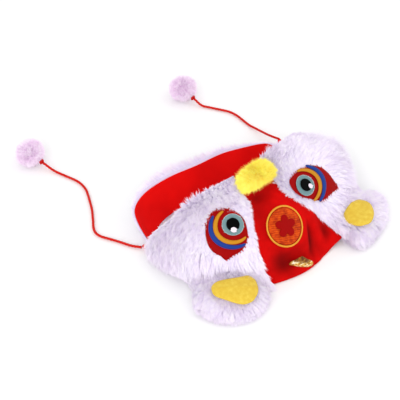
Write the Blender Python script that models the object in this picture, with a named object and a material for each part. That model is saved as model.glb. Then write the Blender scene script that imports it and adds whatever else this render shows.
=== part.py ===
"""Pet lion hat: a plush lion face and a band behind it sewn into a soft ring, with ears and tie cords.

The hat lies on its hem and its ears. The lion looks towards -Y, and left and right are those of someone
who looks it in the face, so left is at -X. Sizes are millimetres until a mesh is made. A place on the
ring is given by two numbers: across, the distance round the ring from the middle of the face (positive
to the right), and down, 0 at the rim and 1 at the hem.
"""
import math
from collections import namedtuple

import bmesh
import bpy
from mathutils import Vector

MM = 0.001
GAP = 0.35            # air between two pieces that are sewn together
PANEL_GAP = 0.5       # air along the nose panel's edges
SEAM_GAP = 1.0        # air along the two side seams, where the pile of two pieces meets
PILE = 7.5            # how far the face's locks stand out of their backing
BAND_PILE = 5.0
EAR_PILE = 3.5
PRESSED = 2.4         # thickness of plush that an applique presses down
ROOTED = 0.35         # share of the pile's height where a lock starts
LOCK_SLIP = 4.0       # how far a lock's tip hangs over the next row
INNER_STEP = 0.35     # share of a row between the backing's lines behind a lock's tip and the next start
VELVET = 2.0          # thickness of the nose panel
LINING_OUT, LINING_IN = -0.7, -1.8
BULGE_LOW = 1.15      # above 1, the face swells most below its middle
FACE_DEPTH = 100.0    # rim to hem along the middle of the face
CORD_RADIUS = 1.2
CORD_STEP = 6.0
CORD_GAP = 0.8        # air between a tab's end and its cord, which leaves it at an angle
TAB_THICK = 2.4
POMPOM_RADIUS, POMPOM_RUFFLE = 12.6, 0.09
KNOT_RADIUS, KNOT_RUFFLE = 2.6, 0.08
MIDDLE = Vector((6.03, 0.82, 0))   # the middle of the hat on the floor, in the tables' millimetres

Station = namedtuple("Station", "name rim_x rim_front rim_z hem_x hem_front hem_z bulge")
RING = [
    Station("middle of the face", 0, -11, 70, 2, 64, 0, 8),
    Station("right brow", 32, -17, 65, 45, 56, 0, 10),
    Station("right cheek", 59, -26, 56, 84, 38, 0, 14),
    Station("right jaw", 82, -37, 41, 109, 8, 0, 10),
    Station("right flank", 86, -50, 22, 103, -28, 0, 3),
    Station("right seam", 82, -57, 15, 90, -46, 0, 2),
    Station("right turn", 76, -65, 16, 68, -54, 3, 1),
    Station("right back", 60, -72, 18, 50, -57, 3, 1),
    Station("back right", 33, -78, 23, 26, -59, 3, 1),
    Station("middle of the back", 1, -80, 26, 0, -60, 3, 1),
    Station("back left", -32, -83, 29, -26, -62, 3, 1),
    Station("left back", -62, -81, 29, -49, -62, 3, 1),
    Station("left turn", -80, -71, 24, -65, -57, 3, 1),
    Station("left seam", -83, -46, 8, -80, -42, 0, 1),
    Station("left flank", -80, -42, 20, -84, -27, 0, 4),
    Station("left jaw", -69, -34, 35, -81, 0, 0, 9),
    Station("left cheek", -53, -26, 51, -69, 25, 0, 12),
    Station("left brow", -30, -17, 64, -37, 52, 0, 10),
]
RIGHT_SEAM, LEFT_SEAM = 5, 13   # rows of RING

NoseEdge = namedtuple("NoseEdge", "down left right")
NOSE_EDGES = [
    NoseEdge(0.000, -18.0, 12.0),
    NoseEdge(0.125, -19.3, 12.6),
    NoseEdge(0.250, -21.0, 13.3),
    NoseEdge(0.375, -24.3, 14.6),
    NoseEdge(0.500, -28.0, 20.5),
    NoseEdge(0.625, -31.0, 28.5),
    NoseEdge(0.750, -33.0, 33.8),
    NoseEdge(0.875, -33.0, 36.5),
    NoseEdge(1.000, -32.0, 38.0),
]

Fold = namedtuple("Fold", "name across down half_across half_down turn depth")
FOLDS = [
    Fold("hollow above the front edge", -4, 0.88, 26, 6, 0, -3.0),
    Fold("fold right of the horn", 18, 0.80, 3.5, 16, 0, -3.0),
    Fold("crease under the tuft", -4, 0.28, 14, 4, 20, -1.8),
    Fold("dent by the right ear", 30, 0.72, 6, 12, 10, -2.0),
    Fold("flare of the nose panel's right corner", 40, 1.02, 9, 12, 0, 9.0),
]

Ear = namedtuple("Ear", "side across axis_x axis_front")
EARS = [
    Ear("left", -66, -0.60, 0.80),
    Ear("right", 65, 0.52, 0.85),
]
EarRow = namedtuple("EarRow", "along aside half_width top")
EAR_ROWS = {
    "left": [
        EarRow(10, 5, 32, 18), EarRow(19, 5, 33, 18), EarRow(27, 5, 29, 16), EarRow(33, 5, 23, 13),
        EarRow(38, 6, 14, 9),
    ],
    "right": [
        EarRow(9, -4, 33, 17), EarRow(17, -4, 36, 17), EarRow(24, -1, 30, 15), EarRow(29, 2, 20, 12),
        EarRow(32, 4, 9, 8),
    ],
}
EAR_ROOT_HALF, EAR_ROOT_HEIGHT = 25, 19.5
EAR_ROOT_TOP, EAR_ROOT_LOW = 0.80, 0.985   # where on the cheek the root's seam runs, as down
EAR_FREE = 5.0        # how far from the root the ear is clear of the cheek
EAR_EDGE = 0.4        # height of the ear's edge as a share of its top
FELT_LIFT, FELT_THICK = 1.4, 1.0
PatchRow = namedtuple("PatchRow", "along aside")
EAR_PATCHES = {
    "left": [
        PatchRow(11, -10.6), PatchRow(16, -12), PatchRow(21, -9.5), PatchRow(26.6, -3), PatchRow(31, 5),
        PatchRow(33, 13.6), PatchRow(30, 21.4), PatchRow(21, 27), PatchRow(12.5, 27.7), PatchRow(5, 23.5),
        PatchRow(7.2, 16), PatchRow(9, 5),
    ],
    "right": [
        PatchRow(-4, -18), PatchRow(-1.5, -9.7), PatchRow(0.8, 0), PatchRow(5.9, 5.2), PatchRow(12.6, 3.3),
        PatchRow(19, -4.4), PatchRow(21.5, -11), PatchRow(19.5, -19), PatchRow(14.5, -24.2),
        PatchRow(7.4, -25), PatchRow(1, -23.5),
    ],
}

# The tuft, a rounded rectangle: half its width, how far up and down it reaches, and its height.
TUFT_ACROSS, TUFT_DOWN = -0.8, 0.12
TUFT_HALF, TUFT_UP, TUFT_LOW, TUFT_HEIGHT = 17.5, 13.0, 9.5, 9.5
TUFT_LOCKS = 18

MEDALLION_ACROSS, MEDALLION_DOWN = -3.2, 0.57
DISC_RADIUS, DISC_THICK = 15.7, 0.8
RING_INNER, RING_OUTER, RING_THICK = 16.1, 17.7, 1.3
PETALS, PETAL_ROOT, PETAL_TIP, BLOSSOM_THICK = 5, 5.2, 9.8, 0.7

HORN_ACROSS, HORN_DOWN, HORN_TURN = -4.0, 0.925, 28
HORN_LENGTH, HORN_WIDTH, HORN_HEIGHT = 24.6, 12.6, 6.5
HORN_PLEATS, PLEAT_DEPTH = 15, 0.07

EyeEdge = namedtuple("EyeEdge", "angle reach")
EYE_EDGES = {
    "left": [
        EyeEdge(0, 10.6), EyeEdge(30, 11.6), EyeEdge(55, 14.4), EyeEdge(75, 18.5), EyeEdge(95, 23.6),
        EyeEdge(108, 26.8), EyeEdge(115, 31.5), EyeEdge(124, 29.0), EyeEdge(140, 28.2), EyeEdge(160, 25.7),
        EyeEdge(180, 23.8), EyeEdge(205, 22.5), EyeEdge(230, 21.2), EyeEdge(255, 17.4), EyeEdge(280, 13.6),
        EyeEdge(310, 11.2), EyeEdge(335, 10.6),
    ],
    "right": [
        EyeEdge(3, 28.0), EyeEdge(15, 29.8), EyeEdge(26, 31.6), EyeEdge(36, 34.5), EyeEdge(43, 38.0),
        EyeEdge(50, 31.0), EyeEdge(58, 27.0), EyeEdge(70, 22.6), EyeEdge(84, 17.8), EyeEdge(100, 14.2),
        EyeEdge(125, 12.0), EyeEdge(150, 11.6), EyeEdge(180, 12.6), EyeEdge(205, 14.6), EyeEdge(230, 15.6),
        EyeEdge(255, 13.6), EyeEdge(280, 14.2), EyeEdge(305, 19.0), EyeEdge(325, 24.5), EyeEdge(345, 26.6),
    ],
}
Eye = namedtuple("Eye", "side across down mirror stretch turn blue_start glint_a glint_b")
EYES = [
    Eye("left", -40.6, 0.38, 1, 1.0, 0, 76, -1.1, 4.4),
    Eye("right", 35.6, 0.42, -1, 1.14, -15, 90, 2.2, 3.4),
]
EYE_LAYER = 0.7

Press = namedtuple("Press", "name across down half_across half_down")
PRESSES = [
    Press("left eye", -46, 0.44, 24, 27),
    Press("right eye", 43, 0.47, 31, 25),
    Press("left ear", -62, 0.94, 42, 22),
    Press("right ear", 62, 0.94, 44, 22),
    Press("tuft", 0, 0.11, 28, 22),
    Press("left tie", -136, 0.45, 9, 50),
    Press("right tie", 152, 0.20, 9, 50),
]

Tie = namedtuple("Tie", "side across down way_x way_front way_z tab pompom_x pompom_front")
TIES = [
    Tie("left", -137, 0.45, -0.88, -0.45, -0.1, 5.0, -96.5, -208.2),
    Tie("right", 152, 0.20, 0.60, -0.80, -0.1, 8.0, 74.6, -183.9),
]
Stop = namedtuple("Stop", "x front z")
TIE_ROUTES = {
    "left": [
        Stop(-94, -58, 1.5), Stop(-98.6, -68.5, 1.2), Stop(-102.9, -77.2, 1.2), Stop(-107, -85.5, 1.2),
        Stop(-107.6, -91.8, 1.2), Stop(-105.2, -97.9, 1.2), Stop(-99.7, -105.7, 1.2), Stop(-92.6, -116.3, 1.2),
        Stop(-87.6, -125.7, 1.2), Stop(-83.4, -134.1, 1.2), Stop(-80.3, -141.6, 1.2), Stop(-79.2, -150.6, 1.2),
        Stop(-80.2, -158.1, 1.2), Stop(-83.3, -168, 1.2), Stop(-87.5, -181, 1.8),
    ],
    "right": [
        Stop(92.4, -75, 9.3), Stop(94.3, -86.9, 5.0), Stop(95.3, -97.5, 2.2), Stop(95.0, -105.6, 1.3),
        Stop(95.6, -115.1, 1.2), Stop(96.0, -124.0, 1.2), Stop(94.6, -132.6, 1.2), Stop(90.8, -140.3, 1.2),
        Stop(84.5, -151.2, 1.2), Stop(80.0, -159.0, 1.8),
    ],
}


def rim_point(station):
    return Vector((station.rim_x, -station.rim_front, station.rim_z))


def hem_point(station):
    return Vector((station.hem_x, -station.hem_front, station.hem_z))


def ring_places():
    """How far round the ring each station lies, halfway between rim and hem, and the whole way round."""
    places = [0.0]
    for one, other in zip(RING, RING[1:] + RING[:1]):
        rim_step = (rim_point(other) - rim_point(one)).length
        hem_step = (hem_point(other) - hem_point(one)).length
        places.append(places[-1] + (rim_step + hem_step) / 2)
    return places[:-1], places[-1]


PLACES, ROUND = ring_places()


def through(before, start, end, after, at):
    """The value at a place on a smooth curve through four (place, value) pairs, between the middle two."""
    width = end[0] - start[0]
    t = (at - start[0]) / width
    leave = (end[1] - before[1]) / (end[0] - before[0]) * width
    arrive = (after[1] - start[1]) / (after[0] - start[0]) * width
    return (
        start[1] * (2 * t**3 - 3 * t**2 + 1)
        + leave * (t**3 - 2 * t**2 + t)
        + end[1] * (3 * t**2 - 2 * t**3)
        + arrive * (t**3 - t**2)
    )


def station_at(across):
    """The ring's measures at a place between its stations."""
    at = across % ROUND
    row = max(k for k, place in enumerate(PLACES) if place <= at)
    count = len(RING)
    near = [(PLACES[k % count] + ROUND * (k // count), RING[k % count]) for k in range(row - 1, row + 3)]
    values = []
    for column in range(1, len(Station._fields)):
        pairs = [(place, station[column]) for place, station in near]
        values.append(through(*pairs, at))
    return Station("between", *values)


def relief(across, down):
    """How far the folds and dents move the cloth out at a place."""
    moved = 0.0
    around = across - ROUND if across > ROUND / 2 else across
    for fold in FOLDS:
        a, b = around - fold.across, (down - fold.down) * FACE_DEPTH
        turn = math.radians(fold.turn)
        u = (a * math.cos(turn) + b * math.sin(turn)) / fold.half_across
        v = (b * math.cos(turn) - a * math.sin(turn)) / fold.half_down
        moved += fold.depth * math.exp(-u * u - v * v)
    return moved


def cloth(across, down):
    """A point of the ring's cloth, with its bulge and folds."""
    here, behind, ahead = station_at(across), station_at(across - 2), station_at(across + 2)
    rim, hem = rim_point(here), hem_point(here)
    along = rim_point(ahead) + hem_point(ahead) - rim_point(behind) - hem_point(behind)
    outward = (hem - rim).cross(along).normalized()
    swell = here.bulge * math.sin(math.pi * down**BULGE_LOW) + relief(across, down)
    return rim.lerp(hem, down) + outward * swell


KNOWN = {}


def facing(across, down):
    """A point of the cloth, the way out of it and the way down along it."""
    key = (round(across % ROUND, 4), round(down, 5))
    if key not in KNOWN:
        low, high = max(0.0, down - 0.02), min(1.0, down + 0.02)
        downward = (cloth(across, high) - cloth(across, low)).normalized()
        along = cloth(across + 1.5, down) - cloth(across - 1.5, down)
        KNOWN[key] = cloth(across, down), downward.cross(along).normalized(), downward
    return KNOWN[key]


def place(across, down, out=0.0, slip=0.0):
    """A point out from the cloth, moved along it towards the hem by slip, and never under the floor.

    Past the rim or the hem it goes straight on.
    """
    edge = max(0.0, min(1.0, down))
    point, outward, downward = facing(across, edge)
    found = point + outward * out + downward * (slip + (down - edge) * FACE_DEPTH)
    found.z = max(found.z, 0.0)
    return found


class Spot:
    """A patch of the ring seen flat: a runs across the face and b down it, in millimetres from its middle."""

    def __init__(self, across, down):
        self.across, self.down = across, down
        point, outward, _ = facing(across, down)
        rightward = (cloth(across + 2, down) - cloth(across - 2, down)) / 4
        downward = (cloth(across, down + 0.02) - cloth(across, down - 0.02)) / 0.04
        flat_right = rightward.normalized()
        flat_down = flat_right.cross(outward).normalized()
        self.grid = (
            (rightward.dot(flat_right), downward.dot(flat_right)),
            (rightward.dot(flat_down), downward.dot(flat_down)),
        )

    def point(self, a, b, out):
        (p, q), (r, s) = self.grid
        size = p * s - q * r
        return place(self.across + (s * a - q * b) / size, self.down + (p * b - r * a) / size, out)


def nose_edge(side, down):
    """Where the nose panel ends on one side, left or right."""
    rows = [(row.down, getattr(row, side)) for row in NOSE_EDGES]
    for one, other in zip(rows, rows[1:]):
        if down <= other[0]:
            break
    return one[1] + (other[1] - one[1]) * (down - one[0]) / (other[0] - one[0])


def free_pile(across, down):
    """0 where something presses the plush flat, 1 where the locks stand free."""
    free = 1.0
    around = across - ROUND if across > ROUND / 2 else across
    for press in PRESSES:
        a = (around - press.across) / press.half_across
        b = (down - press.down) * FACE_DEPTH / press.half_down
        free = min(free, max(0.0, min(1.0, (math.hypot(a, b) - 0.95) / 0.35)))
    return free


def paint(name, red, green, blue, roughness=0.9, metallic=0.0):
    material = bpy.data.materials.new(name)
    material.use_nodes = True
    shader = material.node_tree.nodes["Principled BSDF"]
    shader.inputs["Base Color"].default_value = (red, green, blue, 1)
    shader.inputs["Roughness"].default_value = roughness
    shader.inputs["Metallic"].default_value = metallic
    material.diffuse_color = (red, green, blue, 1)
    return material


def make_object(name, points, faces, material, smooth=True):
    """One closed body from points in millimetres, with its faces pointing out."""
    shape = bmesh.new()
    corners = [shape.verts.new((point - MIDDLE) * MM) for point in points]
    for face in faces:
        shape.faces.new([corners[k] for k in face])
    bmesh.ops.recalc_face_normals(shape, faces=shape.faces)
    mesh = bpy.data.meshes.new(name)
    shape.to_mesh(mesh)
    shape.free()
    mesh.materials.append(material)
    if smooth:
        mesh.shade_smooth()
    made = bpy.data.objects.new(name, mesh)
    bpy.context.scene.collection.objects.link(made)
    return made


def wall(name, outer, inner, material, closed=False):
    """A wall between two grids of points of the same size, each a list of lines."""
    lines, columns = len(outer), len(outer[0])
    points = [point for line in outer for point in line] + [point for line in inner for point in line]
    inside = lines * columns
    steps = range(columns if closed else columns - 1)

    def corner(line, column, base=0):
        return base + line * columns + column % columns

    faces = []
    for base in (0, inside):
        for line in range(lines - 1):
            for column in steps:
                faces.append([
                    corner(line, column, base), corner(line + 1, column, base),
                    corner(line + 1, column + 1, base), corner(line, column + 1, base),
                ])
    for line in (0, lines - 1):
        for column in steps:
            faces.append([
                corner(line, column), corner(line, column + 1),
                corner(line, column + 1, inside), corner(line, column, inside),
            ])
    if not closed:
        for column in (0, columns - 1):
            for line in range(lines - 1):
                faces.append([
                    corner(line, column), corner(line + 1, column),
                    corner(line + 1, column, inside), corner(line, column, inside),
                ])
    return make_object(name, points, faces, material)


def plush_wall(name, start, end, columns, rows, pile, material):
    """Plush on its backing: rows of locks that overlap like shingles, each two columns wide."""
    outer, inner = [], []
    for line in range(2 * rows):
        row, tip = divmod(line, 2)
        down = (row + tip) / rows
        inner_down = down if tip or row == 0 else down + INNER_STEP / rows
        outer_line, inner_line = [], []
        for column in range(columns + 1):
            share = column / columns
            across = start(down) + (end(down) - start(down)) * share
            peak = (column + row) % 2
            height, slip = pile * ROOTED, 0.0
            if tip:
                height, slip = pile * (1.0 if peak else 0.62), LOCK_SLIP * (1.0 if peak else 0.2)
            elif row == 0:
                slip = -0.6 * LOCK_SLIP if peak else -0.2 * LOCK_SLIP
            if line == 2 * rows - 1:
                height, slip = pile * (0.8 if peak else 0.5), 0.0
            free = free_pile(across, down)
            height = PRESSED + (height - PRESSED) * free
            point = place(across, down, height, slip * free)
            if line == 2 * rows - 1:
                point.z = 0.0
            outer_line.append(point)
            across = start(inner_down) + (end(inner_down) - start(inner_down)) * share
            inner_line.append(place(across, inner_down))
        outer.append(outer_line)
        inner.append(inner_line)
    return wall(name, outer, inner, material)


def clear_of_folds(across, down):
    """How much further in than the ring's surface a lining has to lie to pass behind the folds near by."""
    near = []
    for step in (-2, -1, 0, 1, 2):
        near.extend(relief(across + 3.5 * step, down + 0.06 * other) for other in (-2, -1, 0, 1, 2))
    return min(near) - relief(across, down)


def plain_wall(name, start, end, columns, rows, low, high, top, bottom, material, closed=False):
    """Cloth of one thickness, from low to high out of the ring's surface; a closed one lies behind the folds."""
    outer, inner = [], []
    for line in range(rows + 1):
        down = top + (bottom - top) * line / rows
        first, last = start(down), end(down)
        stops = [first + (last - first) * k / columns for k in range(columns + (0 if closed else 1))]
        behind = [clear_of_folds(across, down) if closed else 0.0 for across in stops]
        outer.append([place(across, down, high + more) for across, more in zip(stops, behind)])
        inner.append([place(across, down, low + more) for across, more in zip(stops, behind)])
    return wall(name, outer, inner, material, closed)


def dome(name, base, crown, material):
    """A lump whose underside follows base and whose top follows crown: each is a centre and rings of points."""
    (base_centre, base_rings), (crown_centre, crown_rings) = base, crown
    count = len(base_rings[0])
    points = [base_centre, crown_centre]
    starts = []
    for ring in base_rings + crown_rings:
        starts.append(len(points))
        points.extend(ring)
    under, over = starts[:len(base_rings)], starts[len(base_rings):]
    faces = []
    for k in range(count):
        after = (k + 1) % count
        for centre, rings in ((0, under), (1, over)):
            faces.append([centre, rings[0] + k, rings[0] + after])
            for near, far in zip(rings, rings[1:]):
                faces.append([near + k, far + k, far + after, near + after])
        faces.append([under[-1] + k, over[-1] + k, over[-1] + after, under[-1] + after])
    return make_object(name, points, faces, material)


def plate(name, spot, outline, middle, low, high, material, shares=(0.4, 0.75, 1.0)):
    """An applique bent over the ring: its outline is a list of (a, b), seen from middle all round."""
    def layer(out):
        rings = []
        for share in shares:
            rings.append([
                spot.point(middle[0] + (a - middle[0]) * share, middle[1] + (b - middle[1]) * share, out)
                for a, b in outline
            ])
        return spot.point(*middle, out), rings
    return dome(name, layer(low), layer(high), material)


def circle(a, b, radius, count):
    turns = [2 * math.pi * k / count for k in range(count)]
    return [(a + radius * math.cos(turn), b + radius * math.sin(turn)) for turn in turns]


def arc_band(name, spot, centre, stretch, radius, width, start, end, count, low, high, material):
    """A curved strip of the eye, narrower towards its two ends."""
    outer, inner = [], []
    for side in (-0.5, 0.0, 0.5):
        line_high, line_low = [], []
        for k in range(count + 1):
            share = k / count
            angle = math.radians(start + (end - start) * share)
            wide = width * (0.35 + 0.65 * math.sin(math.pi * share) ** 0.5)
            reach = radius + side * wide
            at = centre[0] + reach * math.cos(angle) * stretch, centre[1] + reach * math.sin(angle)
            line_high.append(spot.point(*at, high))
            line_low.append(spot.point(*at, low))
        outer.append(line_high)
        inner.append(line_low)
    return wall(name, outer, inner, material)


def remove_everything():
    for thing in list(bpy.data.objects):
        bpy.data.objects.remove(thing, do_unlink=True)


def make_ring(white):
    """Both cheeks, the band and the nose panel outside, and the lining all round inside."""
    right_seam, left_seam = PLACES[RIGHT_SEAM], PLACES[LEFT_SEAM] - ROUND
    plush_wall(
        "cheek_left", lambda down: left_seam + SEAM_GAP / 2, lambda down: nose_edge("left", down) - PANEL_GAP,
        18, 8, PILE, white,
    )
    plush_wall(
        "cheek_right", lambda down: nose_edge("right", down) + PANEL_GAP, lambda down: right_seam - SEAM_GAP / 2,
        18, 8, PILE, white,
    )
    plush_wall(
        "band", lambda down: right_seam + SEAM_GAP / 2, lambda down: ROUND + left_seam - SEAM_GAP / 2,
        32, 4, BAND_PILE, white,
    )
    plain_wall(
        "nose_panel", lambda down: nose_edge("left", down), lambda down: nose_edge("right", down),
        12, 16, 0.0, VELVET, 0.0, 1.0, paint("red velvet", 0.72, 0.0, 0.0),
    )
    plain_wall(
        "lining", lambda down: 0.0, lambda down: ROUND,
        64, 6, LINING_IN, LINING_OUT, 0.0, 0.98, paint("red knitted lining", 0.65, 0.0, 0.0), closed=True,
    )


def make_eye(eye, colours):
    """The embroidered layers of one eye: patch, blue and gold arcs, iris, pupil and glint."""
    spot = Spot(eye.across, eye.down)
    base = PRESSED + GAP
    on_patch = base + EYE_LAYER + GAP

    def ring(radius, count):
        return [(a * eye.stretch, b) for a, b in circle(0, 0, radius, count)]

    def turned(angle):
        return (angle if eye.mirror > 0 else 180 - angle) + eye.turn

    outline = []
    for edge in EYE_EDGES[eye.side]:
        angle = math.radians(edge.angle)
        outline.append((edge.reach * math.cos(angle), edge.reach * math.sin(angle)))
    plate("eye_patch_" + eye.side, spot, outline, (-5 * eye.mirror, 4), base, base + EYE_LAYER, colours["red"])
    arc_band(
        "eye_blue_arc_" + eye.side, spot, (-1.7 * eye.mirror, 1.5), eye.stretch, 18.4, 3.4,
        turned(eye.blue_start), turned(228), 14, on_patch, on_patch + EYE_LAYER, colours["blue"],
    )
    arc_band(
        "eye_gold_arc_" + eye.side, spot, (0, 0), eye.stretch, 14.1, 3.7,
        turned(62), turned(258), 16, on_patch, on_patch + EYE_LAYER, colours["gold"],
    )
    plate(
        "eye_iris_" + eye.side, spot, ring(9.0, 20), (0, 0),
        on_patch, on_patch + EYE_LAYER, colours["grey"], (0.5, 1.0),
    )
    on_iris = on_patch + EYE_LAYER + GAP
    plate(
        "eye_pupil_" + eye.side, spot, ring(5.4, 16), (0, 0),
        on_iris, on_iris + EYE_LAYER, colours["black"], (1.0,),
    )
    on_pupil = on_iris + EYE_LAYER + GAP
    glint = eye.glint_a, eye.glint_b
    plate(
        "eye_glint_" + eye.side, spot, circle(*glint, 2.2, 10), glint,
        on_pupil, on_pupil + EYE_LAYER, colours["white"], (1.0,),
    )


def make_medallion(colours):
    """An orange disc in a gold ring on the nose panel, with a blossom raised on it."""
    spot = Spot(MEDALLION_ACROSS, MEDALLION_DOWN)
    base = VELVET + GAP
    on_disc = base + DISC_THICK + GAP
    count = 24
    disc = circle(0, 0, DISC_RADIUS, count)
    plate("medallion_disc", spot, disc, (0, 0), base, base + DISC_THICK, colours["orange"], (0.5, 1.0))
    lines = []
    for radius, out in (
        (RING_INNER, base), (RING_INNER, base + RING_THICK),
        (RING_OUTER, base + RING_THICK), (RING_OUTER, base),
    ):
        lines.append([spot.point(a, b, out) for a, b in circle(0, 0, radius, count)])
    faces = []
    for k in range(4):
        near, far = k * count, (k + 1) % 4 * count
        for j in range(count):
            after = (j + 1) % count
            faces.append([near + j, far + j, far + after, near + after])
    make_object("medallion_ring", [point for line in lines for point in line], faces, colours["gold"])
    blossom = []
    for k in range(6 * PETALS):
        turn = 2 * math.pi * k / (6 * PETALS)
        reach = PETAL_ROOT + (PETAL_TIP - PETAL_ROOT) * abs(math.cos(PETALS * turn / 2)) ** 0.8
        blossom.append((reach * math.cos(turn), reach * math.sin(turn)))
    plate(
        "medallion_blossom", spot, blossom, (0, 0),
        on_disc, on_disc + BLOSSOM_THICK, colours["dark red"], (0.5, 1.0),
    )


def squared(turn, power):
    """A point of a rounded rectangle one unit in half size."""
    along, over = math.cos(turn), math.sin(turn)
    return math.copysign(abs(along) ** power, along), math.copysign(abs(over) ** power, over)


def make_tuft(colours):
    """A yellow tuft over the top of the nose panel, its locks falling outwards."""
    spot = Spot(TUFT_ACROSS, TUFT_DOWN)
    low = PRESSED + GAP
    outline = []
    for k in range(TUFT_LOCKS):
        turn = 2 * math.pi * k / TUFT_LOCKS
        below = turn < math.pi
        a, b = squared(turn, 0.45 if below else 0.8)
        outline.append((a * TUFT_HALF, b * (TUFT_LOW if below else TUFT_UP)))
    base_rings = []
    for share in (0.5, 0.97):
        base_rings.append([spot.point(a * share, b * share, low) for a, b in outline])
    crown_rings = []
    for line, share in enumerate((0.25, 0.42, 0.5, 0.72, 0.78, 1.0)):
        ring = []
        for k, (a, b) in enumerate(outline):
            standing = line % 2 and (k + line // 2) % 2
            reach = share * (1.06 if standing else 0.97)
            rise = TUFT_HEIGHT * max(0.0, 1 - (share * 0.93) ** 2) ** 0.5 + (1.6 if standing else -0.6)
            ring.append(spot.point(a * reach, b * reach, low + rise))
        crown_rings.append(ring)
    crown = spot.point(0, 0, low + TUFT_HEIGHT + 0.5)
    dome("tuft", (spot.point(0, 0, low), base_rings), (crown, crown_rings), colours["yellow"])


def make_horn(colours):
    """A squat pleated horn on the front edge, its base lying along the nose panel."""
    spot = Spot(HORN_ACROSS, HORN_DOWN)
    turn = math.radians(HORN_TURN)
    low = VELVET + 2 * GAP
    up = Vector((0.0, -0.25, 0.97)).normalized()
    base_rings = []
    for share in (0.5, 1.0):
        ring = []
        for a, b in circle(0, 0, share, 2 * HORN_PLEATS):
            a, b = a * HORN_LENGTH / 2, b * HORN_WIDTH / 2
            at = a * math.cos(turn) - b * math.sin(turn), a * math.sin(turn) + b * math.cos(turn)
            ring.append(spot.point(*at, low))
        base_rings.append(ring)
    centre = spot.point(0, 0, low)
    crown_rings = []
    for share in (0.35, 0.65, 0.9, 1.0):
        ring = []
        for k, point in enumerate(base_rings[-1]):
            reach = share * (1.0 if k % 2 else 1.0 - PLEAT_DEPTH)
            rise = HORN_HEIGHT * (1 - share) ** 0.8 + (1.0 if share < 1 else 0.5)
            ring.append(centre + (point - centre) * reach + up * rise)
        crown_rings.append(ring)
    dome("horn", (centre, base_rings), (centre + up * (HORN_HEIGHT + 1.2), crown_rings), colours["gold lame"])


class EarShape:
    """An ear as a row of cross-sections from its root on the cheek to its tip."""

    def __init__(self, ear):
        self.rows = [EarRow(0, 0, EAR_ROOT_HALF, EAR_ROOT_HEIGHT)] + EAR_ROWS[ear.side]
        self.axis = Vector((ear.axis_x, -ear.axis_front, 0)).normalized()
        self.aside = Vector((-self.axis.y, self.axis.x, 0))
        self.root = place(ear.across, 0.97, PRESSED + GAP)

    def row_at(self, along):
        """The cross-section's measures at a distance from the root."""
        for one, other in zip(self.rows, self.rows[1:]):
            if along <= other.along:
                break
        share = (along - one.along) / (other.along - one.along)
        return EarRow(*(first + (second - first) * share for first, second in zip(one, other)))

    def spread(self, along, aside, height):
        point = self.root + self.axis * along + self.aside * aside
        point.z = height
        return point

    def top(self, along, aside, out):
        """A point above the ear's upper side."""
        row = self.row_at(along)
        across = max(-1.0, min(1.0, (aside - row.aside) / row.half_width))
        edge = row.top * EAR_EDGE
        height = edge + (row.top - edge) * math.sqrt(max(0.0, 1 - across * across))
        return self.spread(along, aside, height + out)

    def section(self, along, turn, fluff, slip):
        """A point of the closed cross-section, turned from its right edge over the top; flat underneath."""
        row = self.row_at(along)
        edge = row.top * EAR_EDGE
        if math.sin(turn) >= 0:
            height = edge + (row.top + fluff - edge) * math.sin(turn)
        else:
            height = max(0.0, edge * (1 + 1.6 * math.sin(turn)))
        half_width = row.half_width + fluff * 0.7
        return self.spread(along + slip, row.aside + half_width * math.cos(turn), height)


def make_ear(ear, white, yellow):
    """A plush ear that lies out from the foot of a cheek, and the felt patch on it."""
    shape = EarShape(ear)
    count = 20
    turns = [2 * math.pi * k / count for k in range(count)]
    middle, half = (EAR_ROOT_TOP + EAR_ROOT_LOW) / 2, (EAR_ROOT_LOW - EAR_ROOT_TOP) / 2
    rings = []
    for share in (0.35, 0.7, 1.0):
        rings.append([
            place(
                ear.across + EAR_ROOT_HALF * share * math.cos(turn),
                middle - half * share * math.sin(turn), PRESSED + GAP,
            )
            for turn in turns
        ])
    for number, row in enumerate(shape.rows[1:]):
        before = shape.rows[number].along if number else EAR_FREE
        for tip, along in ((False, before + (row.along - before) * 0.25), (True, row.along)):
            ring = []
            for k, turn in enumerate(turns):
                fluff = slip = 0.0
                if tip and math.sin(turn) > -0.2:
                    standing = (k + number) % 2
                    fluff = EAR_PILE * (1.0 if standing else 0.4)
                    slip = LOCK_SLIP * (0.6 if standing else 0.0)
                ring.append(shape.section(along, turn, fluff, slip))
            rings.append(ring)
    points = [point for ring in rings for point in ring]
    faces = []
    for near in range(0, len(points) - count, count):
        for k in range(count):
            after = (k + 1) % count
            faces.append([near + k, near + count + k, near + count + after, near + after])
    last_row = shape.rows[-1]
    points.append(place(ear.across, middle, PRESSED + GAP))
    points.append(shape.spread(last_row.along + 3, last_row.aside, last_row.top * 0.5))
    first, last = len(points) - 2, len(points) - 1
    for k in range(count):
        after = (k + 1) % count
        faces.append([first, k, after])
        faces.append([last, first - count + k, first - count + after])
    make_object("ear_" + ear.side, points, faces, white)

    outline = EAR_PATCHES[ear.side]
    along = sum(row.along for row in outline) / len(outline)
    aside = sum(row.aside for row in outline) / len(outline)

    def layer(out):
        patch_rings = []
        for share in (0.5, 1.0):
            patch_rings.append([
                shape.top(along + (row.along - along) * share, aside + (row.aside - aside) * share, out)
                for row in outline
            ])
        return shape.top(along, aside, out), patch_rings

    low = EAR_PILE + FELT_LIFT
    dome("ear_patch_" + ear.side, layer(low), layer(low + FELT_THICK), yellow)


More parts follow.
